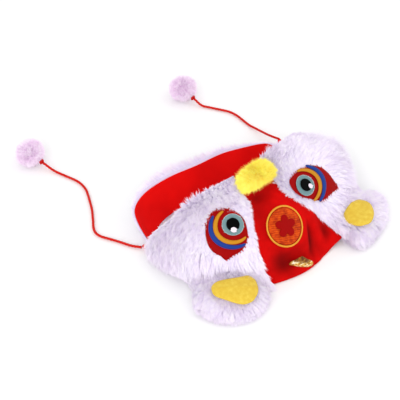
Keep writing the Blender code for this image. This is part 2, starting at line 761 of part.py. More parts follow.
def smooth_route(points, step):
    """Points every step along a smooth curve through a route's own points."""
    route = [points[0] * 2 - points[1]] + points + [points[-1] * 2 - points[-2]]
    fine = []
    for k in range(1, len(route) - 2):
        p0, p1, p2, p3 = route[k - 1:k + 3]
        for j in range(20):
            t = j / 20
            fine.append(0.5 * (
                2 * p1 + (p2 - p0) * t + (2 * p0 - 5 * p1 + 4 * p2 - p3) * t * t
                + (3 * p1 - p0 - 3 * p2 + p3) * t**3
            ))
    fine.append(points[-1].copy())
    lengths = [0.0]
    for one, other in zip(fine, fine[1:]):
        lengths.append(lengths[-1] + (other - one).length)
    count = max(2, round(lengths[-1] / step))
    found, at = [], 0
    for k in range(count + 1):
        goal = lengths[-1] * k / count
        while at < len(lengths) - 2 and lengths[at + 1] < goal:
            at += 1
        share = (goal - lengths[at]) / max(1e-9, lengths[at + 1] - lengths[at])
        found.append(fine[at].lerp(fine[at + 1], min(1.0, share)))
    return found


def make_cord(name, points, material):
    """A tube along points a cord's step apart, its ends capped flat."""
    curve = bpy.data.curves.new(name, "CURVE")
    curve.dimensions = "3D"
    curve.bevel_depth = CORD_RADIUS * MM
    curve.bevel_resolution = 2
    curve.use_fill_caps = True
    line = curve.splines.new("POLY")
    line.points.add(len(points) - 1)
    for spot, point in zip(line.points, points):
        spot.co = (*((point - MIDDLE) * MM), 1)
    curve.materials.append(material)
    made = bpy.data.objects.new(name, curve)
    bpy.context.scene.collection.objects.link(made)


def make_ball(name, centre, radius, count, rings, ruffle, material):
    """A round lump on the floor or over it, its points out and in by turns, as a pompom's locks are."""
    lines = []
    for line in range(1, rings):
        tilt = math.pi * line / rings
        ring = []
        for k in range(count):
            turn = 2 * math.pi * (k + 0.5 * (line % 2)) / count
            reach = radius * (1 + ruffle * (1 if (k + line) % 2 else -1))
            way = Vector((math.cos(turn) * math.sin(tilt), math.sin(turn) * math.sin(tilt), math.cos(tilt)))
            point = centre + way * reach
            point.z = max(point.z, 0.0)
            ring.append(point)
        lines.append(ring)
    middle = rings // 2
    top, bottom = centre + Vector((0, 0, radius)), centre - Vector((0, 0, radius))
    dome(name, (bottom, lines[:middle - 1:-1]), (top, lines[:middle]), material)


def make_tie(tie, colours, white):
    """A tab at the seam, a cord from it along the floor, its knot and its pompom."""
    start = place(tie.across, tie.down, PRESSED + GAP)
    way = Vector((tie.way_x, -tie.way_front, tie.way_z)).normalized()
    aside = way.cross(Vector((0, 0, 1))).normalized()
    over = aside.cross(way).normalized()
    points = []
    for reach, half_wide in ((0.5, 3.0), (tie.tab, TAB_THICK / 2 + 0.2)):
        for a, b in ((-1, -1), (1, -1), (1, 1), (-1, 1)):
            points.append(start + way * reach + aside * half_wide * a + over * TAB_THICK / 2 * b)
    faces = [[0, 1, 2, 3], [4, 5, 6, 7]]
    faces += [[k, (k + 1) % 4, (k + 1) % 4 + 4, k + 4] for k in range(4)]
    make_object("cord_tab_" + tie.side, points, faces, colours["red"], smooth=False)
    route = [start + way * (tie.tab + CORD_GAP)]
    route += [Vector((stop.x, -stop.front, stop.z)) for stop in TIE_ROUTES[tie.side]]
    pompom = Vector((tie.pompom_x, -tie.pompom_front, POMPOM_RADIUS))
    to_pompom = (pompom - route[-1]).normalized()
    knot = pompom - to_pompom * (POMPOM_RADIUS * (1 + POMPOM_RUFFLE / 2) + KNOT_RADIUS + GAP)
    route.append(knot - to_pompom * (KNOT_RADIUS * (1 + KNOT_RUFFLE) + GAP))
    make_cord("cord_" + tie.side, smooth_route(route, CORD_STEP), colours["cord"])
    make_ball("cord_knot_" + tie.side, knot, KNOT_RADIUS, 10, 6, KNOT_RUFFLE, colours["cord"])
    make_ball("pompom_" + tie.side, pompom, POMPOM_RADIUS, 16, 10, POMPOM_RUFFLE, white)


def main():
    remove_everything()
    white = paint("white long-pile plush", 0.86, 0.80, 0.93)
    colours = {
        "red": paint("red embroidery", 0.45, 0.0, 0.02),
        "blue": paint("blue embroidery", 0.05, 0.14, 0.5),
        "gold": paint("gold embroidery", 0.8, 0.5, 0.05),
        "grey": paint("grey embroidery", 0.5, 0.62, 0.68),
        "black": paint("black embroidery", 0.005, 0.005, 0.008),
        "white": paint("white embroidery", 0.9, 0.9, 0.9),
        "orange": paint("orange satin", 0.75, 0.12, 0.01),
        "dark red": paint("dark red embroidery", 0.3, 0.0, 0.0),
        "yellow": paint("yellow plush", 0.9, 0.7, 0.1),
        "yellow felt": paint("yellow felt", 0.85, 0.6, 0.08),
        "gold lame": paint("gold lame", 0.8, 0.55, 0.2, 0.3, 1.0),
        "cord": paint("red twisted cord", 0.6, 0.02, 0.02),
    }
    make_ring(white)
    for eye in EYES:
        make_eye(eye, colours)
    make_medallion(colours)
    make_tuft(colours)
    make_horn(colours)
    for ear in EARS:
        make_ear(ear, white, colours["yellow felt"])
    for tie in TIES:
        make_tie(tie, colours, white)


main()
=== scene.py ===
"""Pet lion hat, dressed: long white plush, red velvet, embroidered eyes, felt, gold lame and cords.

The hat lies on its hem and its ears, and the lion looks towards -Y. Tables are in millimetres. A place
on the ring is given by two numbers: across, the distance round the ring from the middle of the face
(positive to the right, as seen by someone who looks it in the face), and down, 0 at the rim and 1 at
the hem.
"""
import math
import random
from collections import namedtuple

import bmesh
import bpy
import numpy as np
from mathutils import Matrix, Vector


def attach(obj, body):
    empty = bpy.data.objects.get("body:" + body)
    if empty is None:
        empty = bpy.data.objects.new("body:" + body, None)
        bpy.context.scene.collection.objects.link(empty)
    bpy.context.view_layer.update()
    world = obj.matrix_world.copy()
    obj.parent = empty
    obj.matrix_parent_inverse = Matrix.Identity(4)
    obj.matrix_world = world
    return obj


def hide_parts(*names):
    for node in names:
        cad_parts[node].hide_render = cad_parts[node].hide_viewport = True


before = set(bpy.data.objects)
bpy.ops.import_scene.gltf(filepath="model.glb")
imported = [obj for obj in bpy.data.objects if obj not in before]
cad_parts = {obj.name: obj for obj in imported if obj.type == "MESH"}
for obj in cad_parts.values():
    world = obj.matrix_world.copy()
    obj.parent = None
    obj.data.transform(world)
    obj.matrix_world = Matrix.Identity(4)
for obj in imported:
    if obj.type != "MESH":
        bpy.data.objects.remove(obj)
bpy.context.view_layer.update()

MM = 0.001
MIDDLE = Vector((6.03, 0.82, 0))   # the middle of the hat on the floor, in the tables' millimetres
GAP = 0.35            # air between two pieces that are sewn together
PANEL_GAP = 0.5       # air along the nose panel's edges
SEAM_GAP = 1.0        # air along the two side seams
BACKING = 1.5         # thickness of the knitted backing that the pile stands in
PRESSED = 2.4         # thickness of plush that an applique presses down
EAR_PILE = 3.5        # depth of the ears' pile under a felt patch
EAR_PILE_REACH = 5.0  # how far the ears' pile stands out past their backing
VELVET = 2.0          # thickness of the nose panel
LINING_OUT = -0.7     # the lining's two sides, counted outwards from the ring's surface
LINING_IN = -1.8
BULGE_LOW = 1.15      # above 1, the face swells most below its middle
FACE_DEPTH = 100.0    # rim to hem along the middle of the face
CORD_RADIUS = 1.2
CORD_LAY = 9.0        # how far along the cord one ply goes once round
CORD_GAP = 0.8        # air between a tab's end and its cord
TAB_THICK = 2.4
TAB_ROOT_HALF = 3.0   # half the width of a tab where it leaves the seam
KNOT_RADIUS = 2.6
POMPOM_RADIUS = 12.6  # to the tips of the pile
POMPOM_RUFFLE = 0.09  # how uneven the pompom is, as a share of its radius
POMPOM_CORE = 8.1     # radius of the core that its pile stands on
POMPOM_OVER_KNOT = 2.2   # how far its pile closes over the knot

PILE_VALUES = "way", "out", "lift", "free", "thick"   # what a backing's points say of its pile
LEAST_RISE = 0.2              # of a strand out of its backing, as a share of its way
STRAND_ON_FLOOR = 0.3         # how high a strand lies that rests on the floor
WITHIN_EDGES = 0.001, 0.999   # as down, just inside the rim and the hem
FLOOR_BELOW = 0.5             # the floor is drawn this far under the hat: the two never touch


Station = namedtuple("Station", "name rim_x rim_front rim_z hem_x hem_front hem_z bulge")
RING = [
    Station("middle of the face", 0, -11, 70, 2, 64, 0, 8),
    Station("right brow", 32, -17, 65, 45, 56, 0, 10),
    Station("right cheek", 59, -26, 56, 84, 38, 0, 14),
    Station("right jaw", 82, -37, 41, 109, 8, 0, 10),
    Station("right flank", 86, -50, 22, 103, -28, 0, 3),
    Station("right seam", 82, -57, 15, 90, -46, 0, 2),
    Station("right turn", 76, -65, 16, 68, -54, 3, 1),
    Station("right back", 60, -72, 18, 50, -57, 3, 1),
    Station("back right", 33, -78, 23, 26, -59, 3, 1),
    Station("middle of the back", 1, -80, 26, 0, -60, 3, 1),
    Station("back left", -32, -83, 29, -26, -62, 3, 1),
    Station("left back", -62, -81, 29, -49, -62, 3, 1),
    Station("left turn", -80, -71, 24, -65, -57, 3, 1),
    Station("left seam", -83, -46, 8, -80, -42, 0, 1),
    Station("left flank", -80, -42, 20, -84, -27, 0, 4),
    Station("left jaw", -69, -34, 35, -81, 0, 0, 9),
    Station("left cheek", -53, -26, 51, -69, 25, 0, 12),
    Station("left brow", -30, -17, 64, -37, 52, 0, 10),
]
RIGHT_SEAM, LEFT_SEAM = 5, 13   # rows of RING

NoseEdge = namedtuple("NoseEdge", "down left right")
NOSE_EDGES = [
    NoseEdge(0.000, -18.0, 12.0),
    NoseEdge(0.125, -19.3, 12.6),
    NoseEdge(0.250, -21.0, 13.3),
    NoseEdge(0.375, -24.3, 14.6),
    NoseEdge(0.500, -28.0, 20.5),
    NoseEdge(0.625, -31.0, 28.5),
    NoseEdge(0.750, -33.0, 33.8),
    NoseEdge(0.875, -33.0, 36.5),
    NoseEdge(1.000, -32.0, 38.0),
]

Fold = namedtuple("Fold", "name across down half_across half_down turn depth")
# The large folds and dents of all the cloth; a share of their depth also sets the painted shade in the
# velvet.
FOLDS = [
    Fold("hollow above the front edge", -4, 0.88, 26, 6, 0, -3.0),
    Fold("fold right of the horn", 18, 0.80, 3.5, 16, 0, -3.0),
    Fold("crease under the tuft", -4, 0.28, 14, 4, 20, -1.8),
    Fold("dent by the right ear", 30, 0.72, 6, 12, 10, -2.0),
    Fold("flare of the nose panel's right corner", 40, 1.02, 9, 12, 0, 9.0),
]

# The nose panel's own small folds; how deep they dent it also sets the painted shade in its velvet.
CREASES = [
    Fold("valley along the left edge", -15, 0.34, 8, 22, 12, -1.6),
    Fold("dip under the tuft", 0, 0.24, 14, 7, 0, -1.4),
    Fold("swell beside the medallion", 16, 0.52, 7, 16, -20, 1.2),
    Fold("hollow left of the horn", -17, 0.84, 9, 13, 0, -2.2),
    Fold("crease right of the horn", 13.5, 0.80, 2.9, 14, 17, -2.6),
    Fold("dip under the right ear", 31, 0.86, 4, 8, 0, -2.2),
    Fold("dip under the medallion", -2, 0.79, 14, 4, 0, -1.0),
]

# How long the pile stands along the rim: the photo shows it in billows over the lining.
RimPile = namedtuple("RimPile", "across share")
RIM_PILE = [
    RimPile(-140, 0.4), RimPile(-112, 0.15), RimPile(-92, 0.15), RimPile(-80, 0.5), RimPile(-68, 0.7),
    RimPile(-56, 0.6), RimPile(-44, 0.4), RimPile(-30, 0.3), RimPile(-12, 0.25), RimPile(5, 0.35),
    RimPile(18, 0.75), RimPile(40, 0.8), RimPile(55, 0.4), RimPile(70, 0.2), RimPile(125, 0.2),
    RimPile(140, 0.1), RimPile(160, 0.1),
]

FELT_SETTLES = 1.3    # how far a patch's stitched edge sinks into the ear's pile
Ear = namedtuple("Ear", "side across axis_x axis_front")
EARS = [
    Ear("left", -66, -0.60, 0.80),
    Ear("right", 65, 0.52, 0.85),
]
EarRow = namedtuple("EarRow", "along aside half_width top")
EAR_ROWS = {
    "left": [
        EarRow(10, 5, 32, 18), EarRow(19, 5, 33, 18), EarRow(27, 5, 29, 16), EarRow(33, 5, 23, 13),
        EarRow(38, 6, 14, 9),
    ],
    "right": [
        EarRow(9, -4, 33, 17), EarRow(17, -4, 36, 17), EarRow(24, -1, 30, 15), EarRow(29, 2, 20, 12),
        EarRow(32, 4, 9, 8),
    ],
}
EAR_ROOT_HALF, EAR_ROOT_HEIGHT = 25, 19.5
EAR_ROOT_TOP, EAR_ROOT_LOW = 0.80, 0.985   # where on the cheek the root's seam runs, as down
EAR_FREE = 5.0        # how far from the root the ear is clear of the cheek
EAR_ROOT_TURN = 0.25  # how far the root's next row has come towards that free section
EAR_EDGE = 0.4        # height of the ear's edge as a share of its top
FELT_LIFT, FELT_THICK = 1.4, 1.0
PatchRow = namedtuple("PatchRow", "along aside")
EAR_PATCHES = {
    "left": [
        PatchRow(15.5, -10.5), PatchRow(20, -10.5), PatchRow(23.5, -9), PatchRow(26.5, -5),
        PatchRow(29.5, 2), PatchRow(32, 9), PatchRow(32.5, 15.5), PatchRow(30, 22),
        PatchRow(25.5, 26), PatchRow(20.5, 28), PatchRow(14.5, 28), PatchRow(8.5, 26.5),
        PatchRow(5, 22.5), PatchRow(6.5, 17), PatchRow(8, 11.5), PatchRow(9, 4),
        PatchRow(10, -3.5), PatchRow(12, -8),
    ],
    "right": [
        PatchRow(-3.5, -18), PatchRow(-2, -12), PatchRow(1.5, -3.5), PatchRow(8, 3), PatchRow(16, 1.5),
        PatchRow(21, -5), PatchRow(22.5, -13), PatchRow(20.5, -21), PatchRow(14, -26.5),
        PatchRow(6, -26.5), PatchRow(-0.5, -23),
    ],
}

# The tuft, a rounded rectangle: half its width, how far up and down it reaches, and its height.
TUFT_ACROSS, TUFT_DOWN = -0.8, 0.12
TUFT_HALF, TUFT_UP, TUFT_LOW, TUFT_HEIGHT = 17.5, 13.0, 9.5, 9.5

MEDALLION_ACROSS, MEDALLION_DOWN = -3.2, 0.57
DISC_RADIUS, DISC_THICK = 15.7, 0.8
RING_INNER, RING_OUTER, RING_THICK = 16.1, 17.7, 1.3
PETALS, PETAL_ROOT, PETAL_TIP, BLOSSOM_THICK = 5, 5.2, 9.8, 0.7

HORN_ACROSS, HORN_DOWN, HORN_TURN = -4.0, 0.925, 28
HORN_LENGTH, HORN_WIDTH, HORN_HEIGHT = 24.6, 12.6, 6.5
HORN_PLEATS = 15
# From the foot up: share of the foot's size, height, depth of the pleats and share of the bright
# colour.
HornRow = namedtuple("HornRow", "share rise pleat bright")
HORN_ROWS = [
    HornRow(1.00, 0.8, 0.05, 1.0), HornRow(1.00, 1.7, 0.12, 1.0), HornRow(0.96, 2.7, 0.16, 1.0),
    HornRow(0.86, 3.5, 0.12, 1.0), HornRow(0.70, 4.1, 0.06, 0.4), HornRow(0.56, 5.0, 0.04, 0.0),
    HornRow(0.40, 6.2, 0.03, 0.0), HornRow(0.22, 7.4, 0.02, 0.0), HornRow(0.08, 8.3, 0.0, 0.0),
]

EyeEdge = namedtuple("EyeEdge", "angle reach")
EYE_EDGES = {
    "left": [
        EyeEdge(0, 10.6), EyeEdge(30, 11.6), EyeEdge(55, 14.4), EyeEdge(75, 18.5),
        EyeEdge(95, 23.6), EyeEdge(108, 26.8), EyeEdge(115, 31.5), EyeEdge(124, 29.0),
        EyeEdge(140, 28.2), EyeEdge(160, 25.7), EyeEdge(180, 23.8), EyeEdge(205, 22.5),
        EyeEdge(230, 21.2), EyeEdge(255, 17.4), EyeEdge(280, 13.6), EyeEdge(310, 11.2),
        EyeEdge(335, 10.6),
    ],
    "right": [
        EyeEdge(3, 28.0), EyeEdge(15, 29.8), EyeEdge(26, 31.6), EyeEdge(36, 34.5),
        EyeEdge(43, 38.0), EyeEdge(50, 31.0), EyeEdge(58, 27.0), EyeEdge(70, 22.6),
        EyeEdge(84, 17.4), EyeEdge(100, 13.2), EyeEdge(125, 11.2), EyeEdge(150, 11.2),
        EyeEdge(180, 12.6), EyeEdge(205, 14.6), EyeEdge(230, 15.6), EyeEdge(255, 13.2),
        EyeEdge(280, 13.0), EyeEdge(305, 14.6), EyeEdge(325, 17.6), EyeEdge(345, 24.0),
    ],
}
Eye = namedtuple(
    "Eye", "side across down mirror stretch turn blue_start blue_end gold_end glint_a glint_b",
)
EYES = [
    Eye("left", -40.6, 0.38, 1, 1.0, 0, 76, 226, 258, -1.1, 4.4),
    Eye("right", 35.6, 0.42, -1, 1.14, -15, 79, 204, 242, 2.2, 3.4),
]
EYE_LAYER = 0.7       # thickness of each embroidered layer

Press = namedtuple("Press", "name across down half_across half_down")
PRESSES = [
    Press("left eye", -46, 0.44, 24, 27),
    Press("right eye", 43, 0.47, 31, 25),
    Press("left ear", -62, 0.94, 42, 22),
    Press("right ear", 62, 0.94, 44, 22),
    Press("tuft", 0, 0.11, 28, 22),
    Press("left tie", -136, 0.45, 9, 50),
    Press("right tie", 152, 0.20, 9, 50),
]

Tie = namedtuple("Tie", "side across down way_x way_front way_z tab pompom_x pompom_front")
TIES = [
    Tie("left", -137, 0.45, -0.88, -0.45, -0.1, 5.0, -96.5, -208.2),
    Tie("right", 152, 0.20, 0.60, -0.80, -0.1, 8.0, 74.6, -183.9),
]
Stop = namedtuple("Stop", "x front z")
TIE_ROUTES = {
    "left": [
        Stop(-94, -58, 1.5), Stop(-98.6, -68.5, 1.2), Stop(-102.9, -77.2, 1.2),
        Stop(-107, -85.5, 1.2), Stop(-107.6, -91.8, 1.2), Stop(-105.2, -97.9, 1.2),
        Stop(-99.7, -105.7, 1.2), Stop(-92.6, -116.3, 1.2), Stop(-87.6, -125.7, 1.2),
        Stop(-83.4, -134.1, 1.2), Stop(-80.3, -141.6, 1.2), Stop(-79.2, -150.6, 1.2),
        Stop(-80.2, -158.1, 1.2), Stop(-83.3, -168, 1.2), Stop(-87.5, -181, 1.8),
    ],
    "right": [
        Stop(92.4, -75, 9.3), Stop(94.3, -86.9, 5.0), Stop(95.3, -97.5, 2.2),
        Stop(95.0, -105.6, 1.3), Stop(95.6, -115.1, 1.2), Stop(96.0, -124.0, 1.2),
        Stop(94.6, -132.6, 1.2), Stop(90.8, -140.3, 1.2), Stop(84.5, -151.2, 1.2),
        Stop(80.0, -159.0, 1.8),
    ],
}


def clamp(value, low=0.0, high=1.0):
    return max(low, min(high, value))


def bell(value, middle, half):
    """1 at the middle, and down to about a third at half the bell's width from it."""
    return math.exp(-((value - middle) / half) ** 2)


def full_turn(count):
    """Angles once round, count of them."""
    return [2 * math.pi * k / count for k in range(count)]


def rim_point(station):
    return Vector((station.rim_x, -station.rim_front, station.rim_z))


def hem_point(station):
    return Vector((station.hem_x, -station.hem_front, station.hem_z))


def ring_places():
    """How far round the ring each station lies, midway between rim and hem, and the whole round."""
    places = [0.0]
    for one, other in zip(RING, RING[1:] + RING[:1]):
        rim_step = (rim_point(other) - rim_point(one)).length
        hem_step = (hem_point(other) - hem_point(one)).length
        places.append(places[-1] + (rim_step + hem_step) / 2)
    return places[:-1], places[-1]


PLACES, ROUND = ring_places()


def through(before, start, end, after, at):
    """The value at a place between the middle two of four (place, value) pairs, on a smooth curve."""
    width = end[0] - start[0]
    t = (at - start[0]) / width
    leave = (end[1] - before[1]) / (end[0] - before[0]) * width
    arrive = (after[1] - start[1]) / (after[0] - start[0]) * width
    return (
        start[1] * (2 * t**3 - 3 * t**2 + 1)
        + leave * (t**3 - 2 * t**2 + t)
        + end[1] * (3 * t**2 - 2 * t**3)
        + arrive * (t**3 - t**2)
    )


def worked_station(across):
    """The ring's measures at a place between its stations."""
    at = across % ROUND
    row = max(k for k, place in enumerate(PLACES) if place <= at)
    count = len(RING)
    near = [
        (PLACES[k % count] + ROUND * (k // count), RING[k % count]) for k in range(row - 1, row + 3)
    ]
    values = []
    for column in range(1, len(Station._fields)):
        pairs = [(place, station[column]) for place, station in near]
        values.append(through(*pairs, at))
    return Station("between", *values)


STATION_STEP = 0.5
FINE_RING = [worked_station(k * STATION_STEP) for k in range(int(ROUND / STATION_STEP) + 2)]


def station_at(across):
    """The ring's measures, between two of the fine stations."""
    row, share = divmod((across % ROUND) / STATION_STEP, 1)
    pairs = zip(FINE_RING[int(row)][1:], FINE_RING[int(row) + 1][1:])
    return Station("between", *(one + (other - one) * share for one, other in pairs))


def from_middle(across):
    """The same place, counted the shorter way from the middle of the face."""
    return across - ROUND if across > ROUND / 2 else across


def moved_by(folds, across, down):
    """How far a table of folds moves the cloth out at a place."""
    moved = 0.0
    around = from_middle(across)
    for fold in folds:
        a, b = around - fold.across, (down - fold.down) * FACE_DEPTH
        turn = math.radians(fold.turn)
        u = (a * math.cos(turn) + b * math.sin(turn)) / fold.half_across
        v = (b * math.cos(turn) - a * math.sin(turn)) / fold.half_down
        moved += fold.depth * math.exp(-u * u - v * v)
    return moved


def relief(across, down):
    """How far the large folds and dents move all the cloth at a place."""
    return moved_by(FOLDS, across, down)


def creased(across, down):
    """How far the nose panel's own small folds move it at a place."""
    return moved_by(CREASES, across, down)


def cloth(across, down):
    """A point of the ring's cloth, with its bulge and folds."""
    here, behind, ahead = station_at(across), station_at(across - 2), station_at(across + 2)
    rim, hem = rim_point(here), hem_point(here)
    along = rim_point(ahead) + hem_point(ahead) - rim_point(behind) - hem_point(behind)
    outward = (hem - rim).cross(along).normalized()
    swell = here.bulge * math.sin(math.pi * down**BULGE_LOW) + relief(across, down)
    return rim.lerp(hem, down) + outward * swell


KNOWN = {}


def facing(across, down):
    """A point of the cloth, the way out of it and the way down along it."""
    key = (round(across % ROUND, 4), round(down, 5))
    if key not in KNOWN:
        above, below = clamp(down - 0.02), clamp(down + 0.02)
        downward = (cloth(across, below) - cloth(across, above)).normalized()
        along = cloth(across + 1.5, down) - cloth(across - 1.5, down)
        KNOWN[key] = cloth(across, down), downward.cross(along).normalized(), downward
    return KNOWN[key]


def place(across, down, out=0.0, slip=0.0):
    """A point out from the cloth, moved along it towards the hem by slip, and never under the floor.

    Past the rim or the hem it goes straight on.
    """
    edge = clamp(down)
    point, outward, downward = facing(across, edge)
    found = point + outward * out + downward * (slip + (down - edge) * FACE_DEPTH)
    found.z = max(found.z, 0.0)
    return found


class Spot:
    """A patch of the ring seen flat: a runs across and b down, in millimetres from its middle."""

    def __init__(self, across, down):
        self.across, self.down = across, down
        _, outward, _ = facing(across, down)
        rightward = (cloth(across + 2, down) - cloth(across - 2, down)) / 4
        downward = (cloth(across, down + 0.02) - cloth(across, down - 0.02)) / 0.04
        flat_right = rightward.normalized()
        flat_down = flat_right.cross(outward).normalized()
        self.grid = (
            (rightward.dot(flat_right), downward.dot(flat_right)),
            (rightward.dot(flat_down), downward.dot(flat_down)),
        )

    def point(self, a, b, out):
        (p, q), (r, s) = self.grid
        size = p * s - q * r
        return place(self.across + (s * a - q * b) / size, self.down + (p * b - r * a) / size, out)

    def seen(self, across, down):
        """The inverse: a and b of a place on the ring."""
        (p, q), (r, s) = self.grid
        around = (across - self.across + ROUND / 2) % ROUND - ROUND / 2
        along = down - self.down
        return p * around + q * along, r * around + s * along

    def frame(self, a, b, out):
        """A point with the ways right, down and out there."""
        here = self.point(a, b, out)
        right = (self.point(a + 0.5, b, out) - here).normalized()
        outward = right.cross(self.point(a, b + 0.5, out) - here).normalized()
        return here, right, right.cross(outward) * -1, outward


def nose_edge(side, down):
    """Where the nose panel ends on one side, left or right."""
    rows = [(row.down, getattr(row, side)) for row in NOSE_EDGES]
    for one, other in zip(rows, rows[1:]):
        if down <= other[0]:
            break
    return one[1] + (other[1] - one[1]) * (down - one[0]) / (other[0] - one[0])


def free_pile(across, down):
    """0 where something presses the plush flat, 1 where the locks stand free."""
    free = 1.0
    around = from_middle(across)
    for press in PRESSES:
        a = (around - press.across) / press.half_across
        b = (down - press.down) * FACE_DEPTH / press.half_down
        free = min(free, clamp((math.hypot(a, b) - 0.95) / 0.35))
    return free


class EarShape:
    """An ear as a row of cross-sections from its root on the cheek to its tip."""

    def __init__(self, ear):
        self.rows = [EarRow(0, 0, EAR_ROOT_HALF, EAR_ROOT_HEIGHT)] + EAR_ROWS[ear.side]
        self.axis = Vector((ear.axis_x, -ear.axis_front, 0)).normalized()
        self.aside = Vector((-self.axis.y, self.axis.x, 0))
        self.root = place(ear.across, 0.97, PRESSED + GAP)

    def row_at(self, along):
        """The cross-section's measures at a distance from the root."""
        for one, other in zip(self.rows, self.rows[1:]):
            if along <= other.along:
                break
        share = (along - one.along) / (other.along - one.along)
        return EarRow(*(first + (second - first) * share for first, second in zip(one, other)))

    def spread(self, along, aside, height):
        point = self.root + self.axis * along + self.aside * aside
        point.z = height
        return point

    def top(self, along, aside, out):
        """A point above the ear's upper side."""
        row = self.row_at(along)
        across = clamp((aside - row.aside) / row.half_width, -1.0, 1.0)
        edge = row.top * EAR_EDGE
        height = edge + (row.top - edge) * math.sqrt(max(0.0, 1 - across * across))
        return self.spread(along, aside, height + out)

    def section(self, along, turn, row, inset):
        """A point of the backing's cross-section, inset under its pile; flat underneath."""
        edge = row.top * EAR_EDGE
        if math.sin(turn) >= 0:
            height = edge + (row.top - inset * 0.4 - edge) * math.sin(turn)
        else:
            height = max(0.0, edge * (1 + 1.6 * math.sin(turn)))
        half_width = row.half_width - inset
        return self.spread(along, row.aside + half_width * math.cos(turn), height)


def smooth_between(p0, p1, p2, p3, t):
    """A place between p1 and p2, numbers or vectors, on a smooth curve through all four."""
    return 0.5 * (
        2 * p1 + (p2 - p0) * t + (2 * p0 - 5 * p1 + 4 * p2 - p3) * t * t
        + (3 * p1 - p0 - 3 * p2 + p3) * t**3
    )


def smooth_route(points, step):
    """Points every step along a smooth curve through a route's own points."""
    route = [points[0] * 2 - points[1]] + points + [points[-1] * 2 - points[-2]]
    parts = 20
    fine = []
    for k in range(1, len(route) - 2):
        fine += [smooth_between(*route[k - 1:k + 3], j / parts) for j in range(parts)]
    fine.append(points[-1].copy())
    lengths = [0.0]
    for one, other in zip(fine, fine[1:]):
        lengths.append(lengths[-1] + (other - one).length)
    count = max(2, round(lengths[-1] / step))
    found, at = [], 0
    for k in range(count + 1):
        goal = lengths[-1] * k / count
        while at < len(lengths) - 2 and lengths[at + 1] < goal:
            at += 1
        share = (goal - lengths[at]) / max(1e-9, lengths[at + 1] - lengths[at])
        found.append(fine[at].lerp(fine[at + 1], min(1.0, share)))
    return found


def linear(hexed):
    """A linear colour from an sRGB hex value."""
    found = []
    for k in (0, 2, 4):
        value = int(hexed[k:k + 2], 16) / 255
        found.append(value / 12.92 if value <= 0.04045 else ((value + 0.055) / 1.055) ** 2.4)
    return (*found, 1.0)


def add(tree, kind, inputs=None, **settings):
    """Adds a node with its settings; an input is a value or another node's socket."""
    made = tree.nodes.new(kind)
    for name, value in settings.items():
        setattr(made, name, value)
    for key, value in (inputs or {}).items():
        socket = made.inputs[key]
        if isinstance(value, bpy.types.NodeSocket):
            tree.links.new(value, socket)
        else:
            socket.default_value = value
    return made


def finish_named(name, **sockets):
    """A new finish with a Principled shader; returns the material, its tree and the shader."""
    made = bpy.data.materials.new(name)
    made.use_nodes = True
    shader = made.node_tree.nodes["Principled BSDF"]
    for socket, value in sockets.items():
        shader.inputs[socket.replace("_", " ")].default_value = value
    return made, made.node_tree, shader


def store_values(mesh, values):
    """Numbers or vectors for each of a mesh's points, by name."""
    for key, numbers in values.items():
        numbers = np.array(numbers, float)
        kind = "FLOAT" if numbers.ndim == 1 else "FLOAT_VECTOR"
        stored = mesh.attributes.new(key, kind, "POINT")
        stored.data.foreach_set("value" if kind == "FLOAT" else "vector", numbers.ravel())


def make_piece(name, points, faces, finish, smooth=True, values=None):
    """A mesh from points in millimetres, with its points' values."""
    mesh = bpy.data.meshes.new(name)
    mesh.from_pydata([(point - MIDDLE) * MM for point in points], [], faces)
    store_values(mesh, values or {})
    if finish is not None:
        mesh.materials.append(finish)
    if smooth:
        mesh.shade_smooth()
    mesh.update()
    made = bpy.data.objects.new(name, mesh)
    bpy.context.scene.collection.objects.link(made)
    return made


def wall_faces(lines, columns, closed=False):
    """Faces of a wall between two grids of one size, the outer grid first, all facing outwards."""
    inside = lines * columns
    steps = columns if closed else columns - 1
    faces = []

    def corner(line, column, base=0):
        return base + line * columns + column % columns

    for line in range(lines - 1):
        for column in range(steps):
            quad = [(line, column), (line + 1, column), (line + 1, column + 1), (line, column + 1)]
            faces.append([corner(a, b) for a, b in quad])
            faces.append([corner(a, b, inside) for a, b in reversed(quad)])
    for column in range(steps):
        for line, turn in ((0, 1), (lines - 1, -1)):
            quad = [
                corner(line, column), corner(line, column + 1),
                corner(line, column + 1, inside), corner(line, column, inside),
            ]
            faces.append(quad[::turn])
    if not closed:
        for column, turn in ((0, -1), (columns - 1, 1)):
            for line in range(lines - 1):
                quad = [
                    corner(line, column), corner(line + 1, column),
                    corner(line + 1, column, inside), corner(line, column, inside),
                ]
                faces.append(quad[::turn])
    return faces


def loft(rings, first, last):
    """Points and outward faces of a closed body: a point, rings that run anticlockwise, a point."""
    count = len(rings[0])
    points = [first] + [point for ring in rings for point in ring] + [last]
    faces = []
    for k in range(count):
        after = (k + 1) % count
        faces.append([0, 1 + after, 1 + k])
        for near in range(1, 1 + count * (len(rings) - 1), count):
            faces.append([near + k, near + after, near + count + after, near + count + k])
        near = 1 + count * (len(rings) - 1)
        faces.append([near + k, near + after, len(points) - 1])
    return points, faces


def turn_out(made):
    """Closed bodies only: makes every face point outwards."""
    shape = bmesh.new()
    shape.from_mesh(made.data)
    bmesh.ops.recalc_face_normals(shape, faces=shape.faces)
    shape.to_mesh(made.data)
    shape.free()


def named_value(tree, name, kind="FLOAT"):
    return add(
        tree, "GeometryNodeInputNamedAttribute", {"Name": name}, data_type=kind,
    ).outputs["Attribute"]


def math_node(tree, operation, *values):
    """A number worked out from others."""
    return add(tree, "ShaderNodeMath", dict(enumerate(values)), operation=operation).outputs[0]


def vector_node(tree, operation, *values):
    """A vector worked out from others."""
    return add(tree, "ShaderNodeVectorMath", dict(enumerate(values)), operation=operation).outputs[0]


def scaled(tree, vector, share):
    return add(
        tree, "ShaderNodeVectorMath", {0: vector, "Scale": share}, operation="SCALE",
    ).outputs[0]


def chance(tree, low, high, seed):
    """A number between two others, one for each point."""
    return add(
        tree, "FunctionNodeRandomValue", {2: low, 3: high, "Seed": seed}, data_type="FLOAT",
    ).outputs[1]


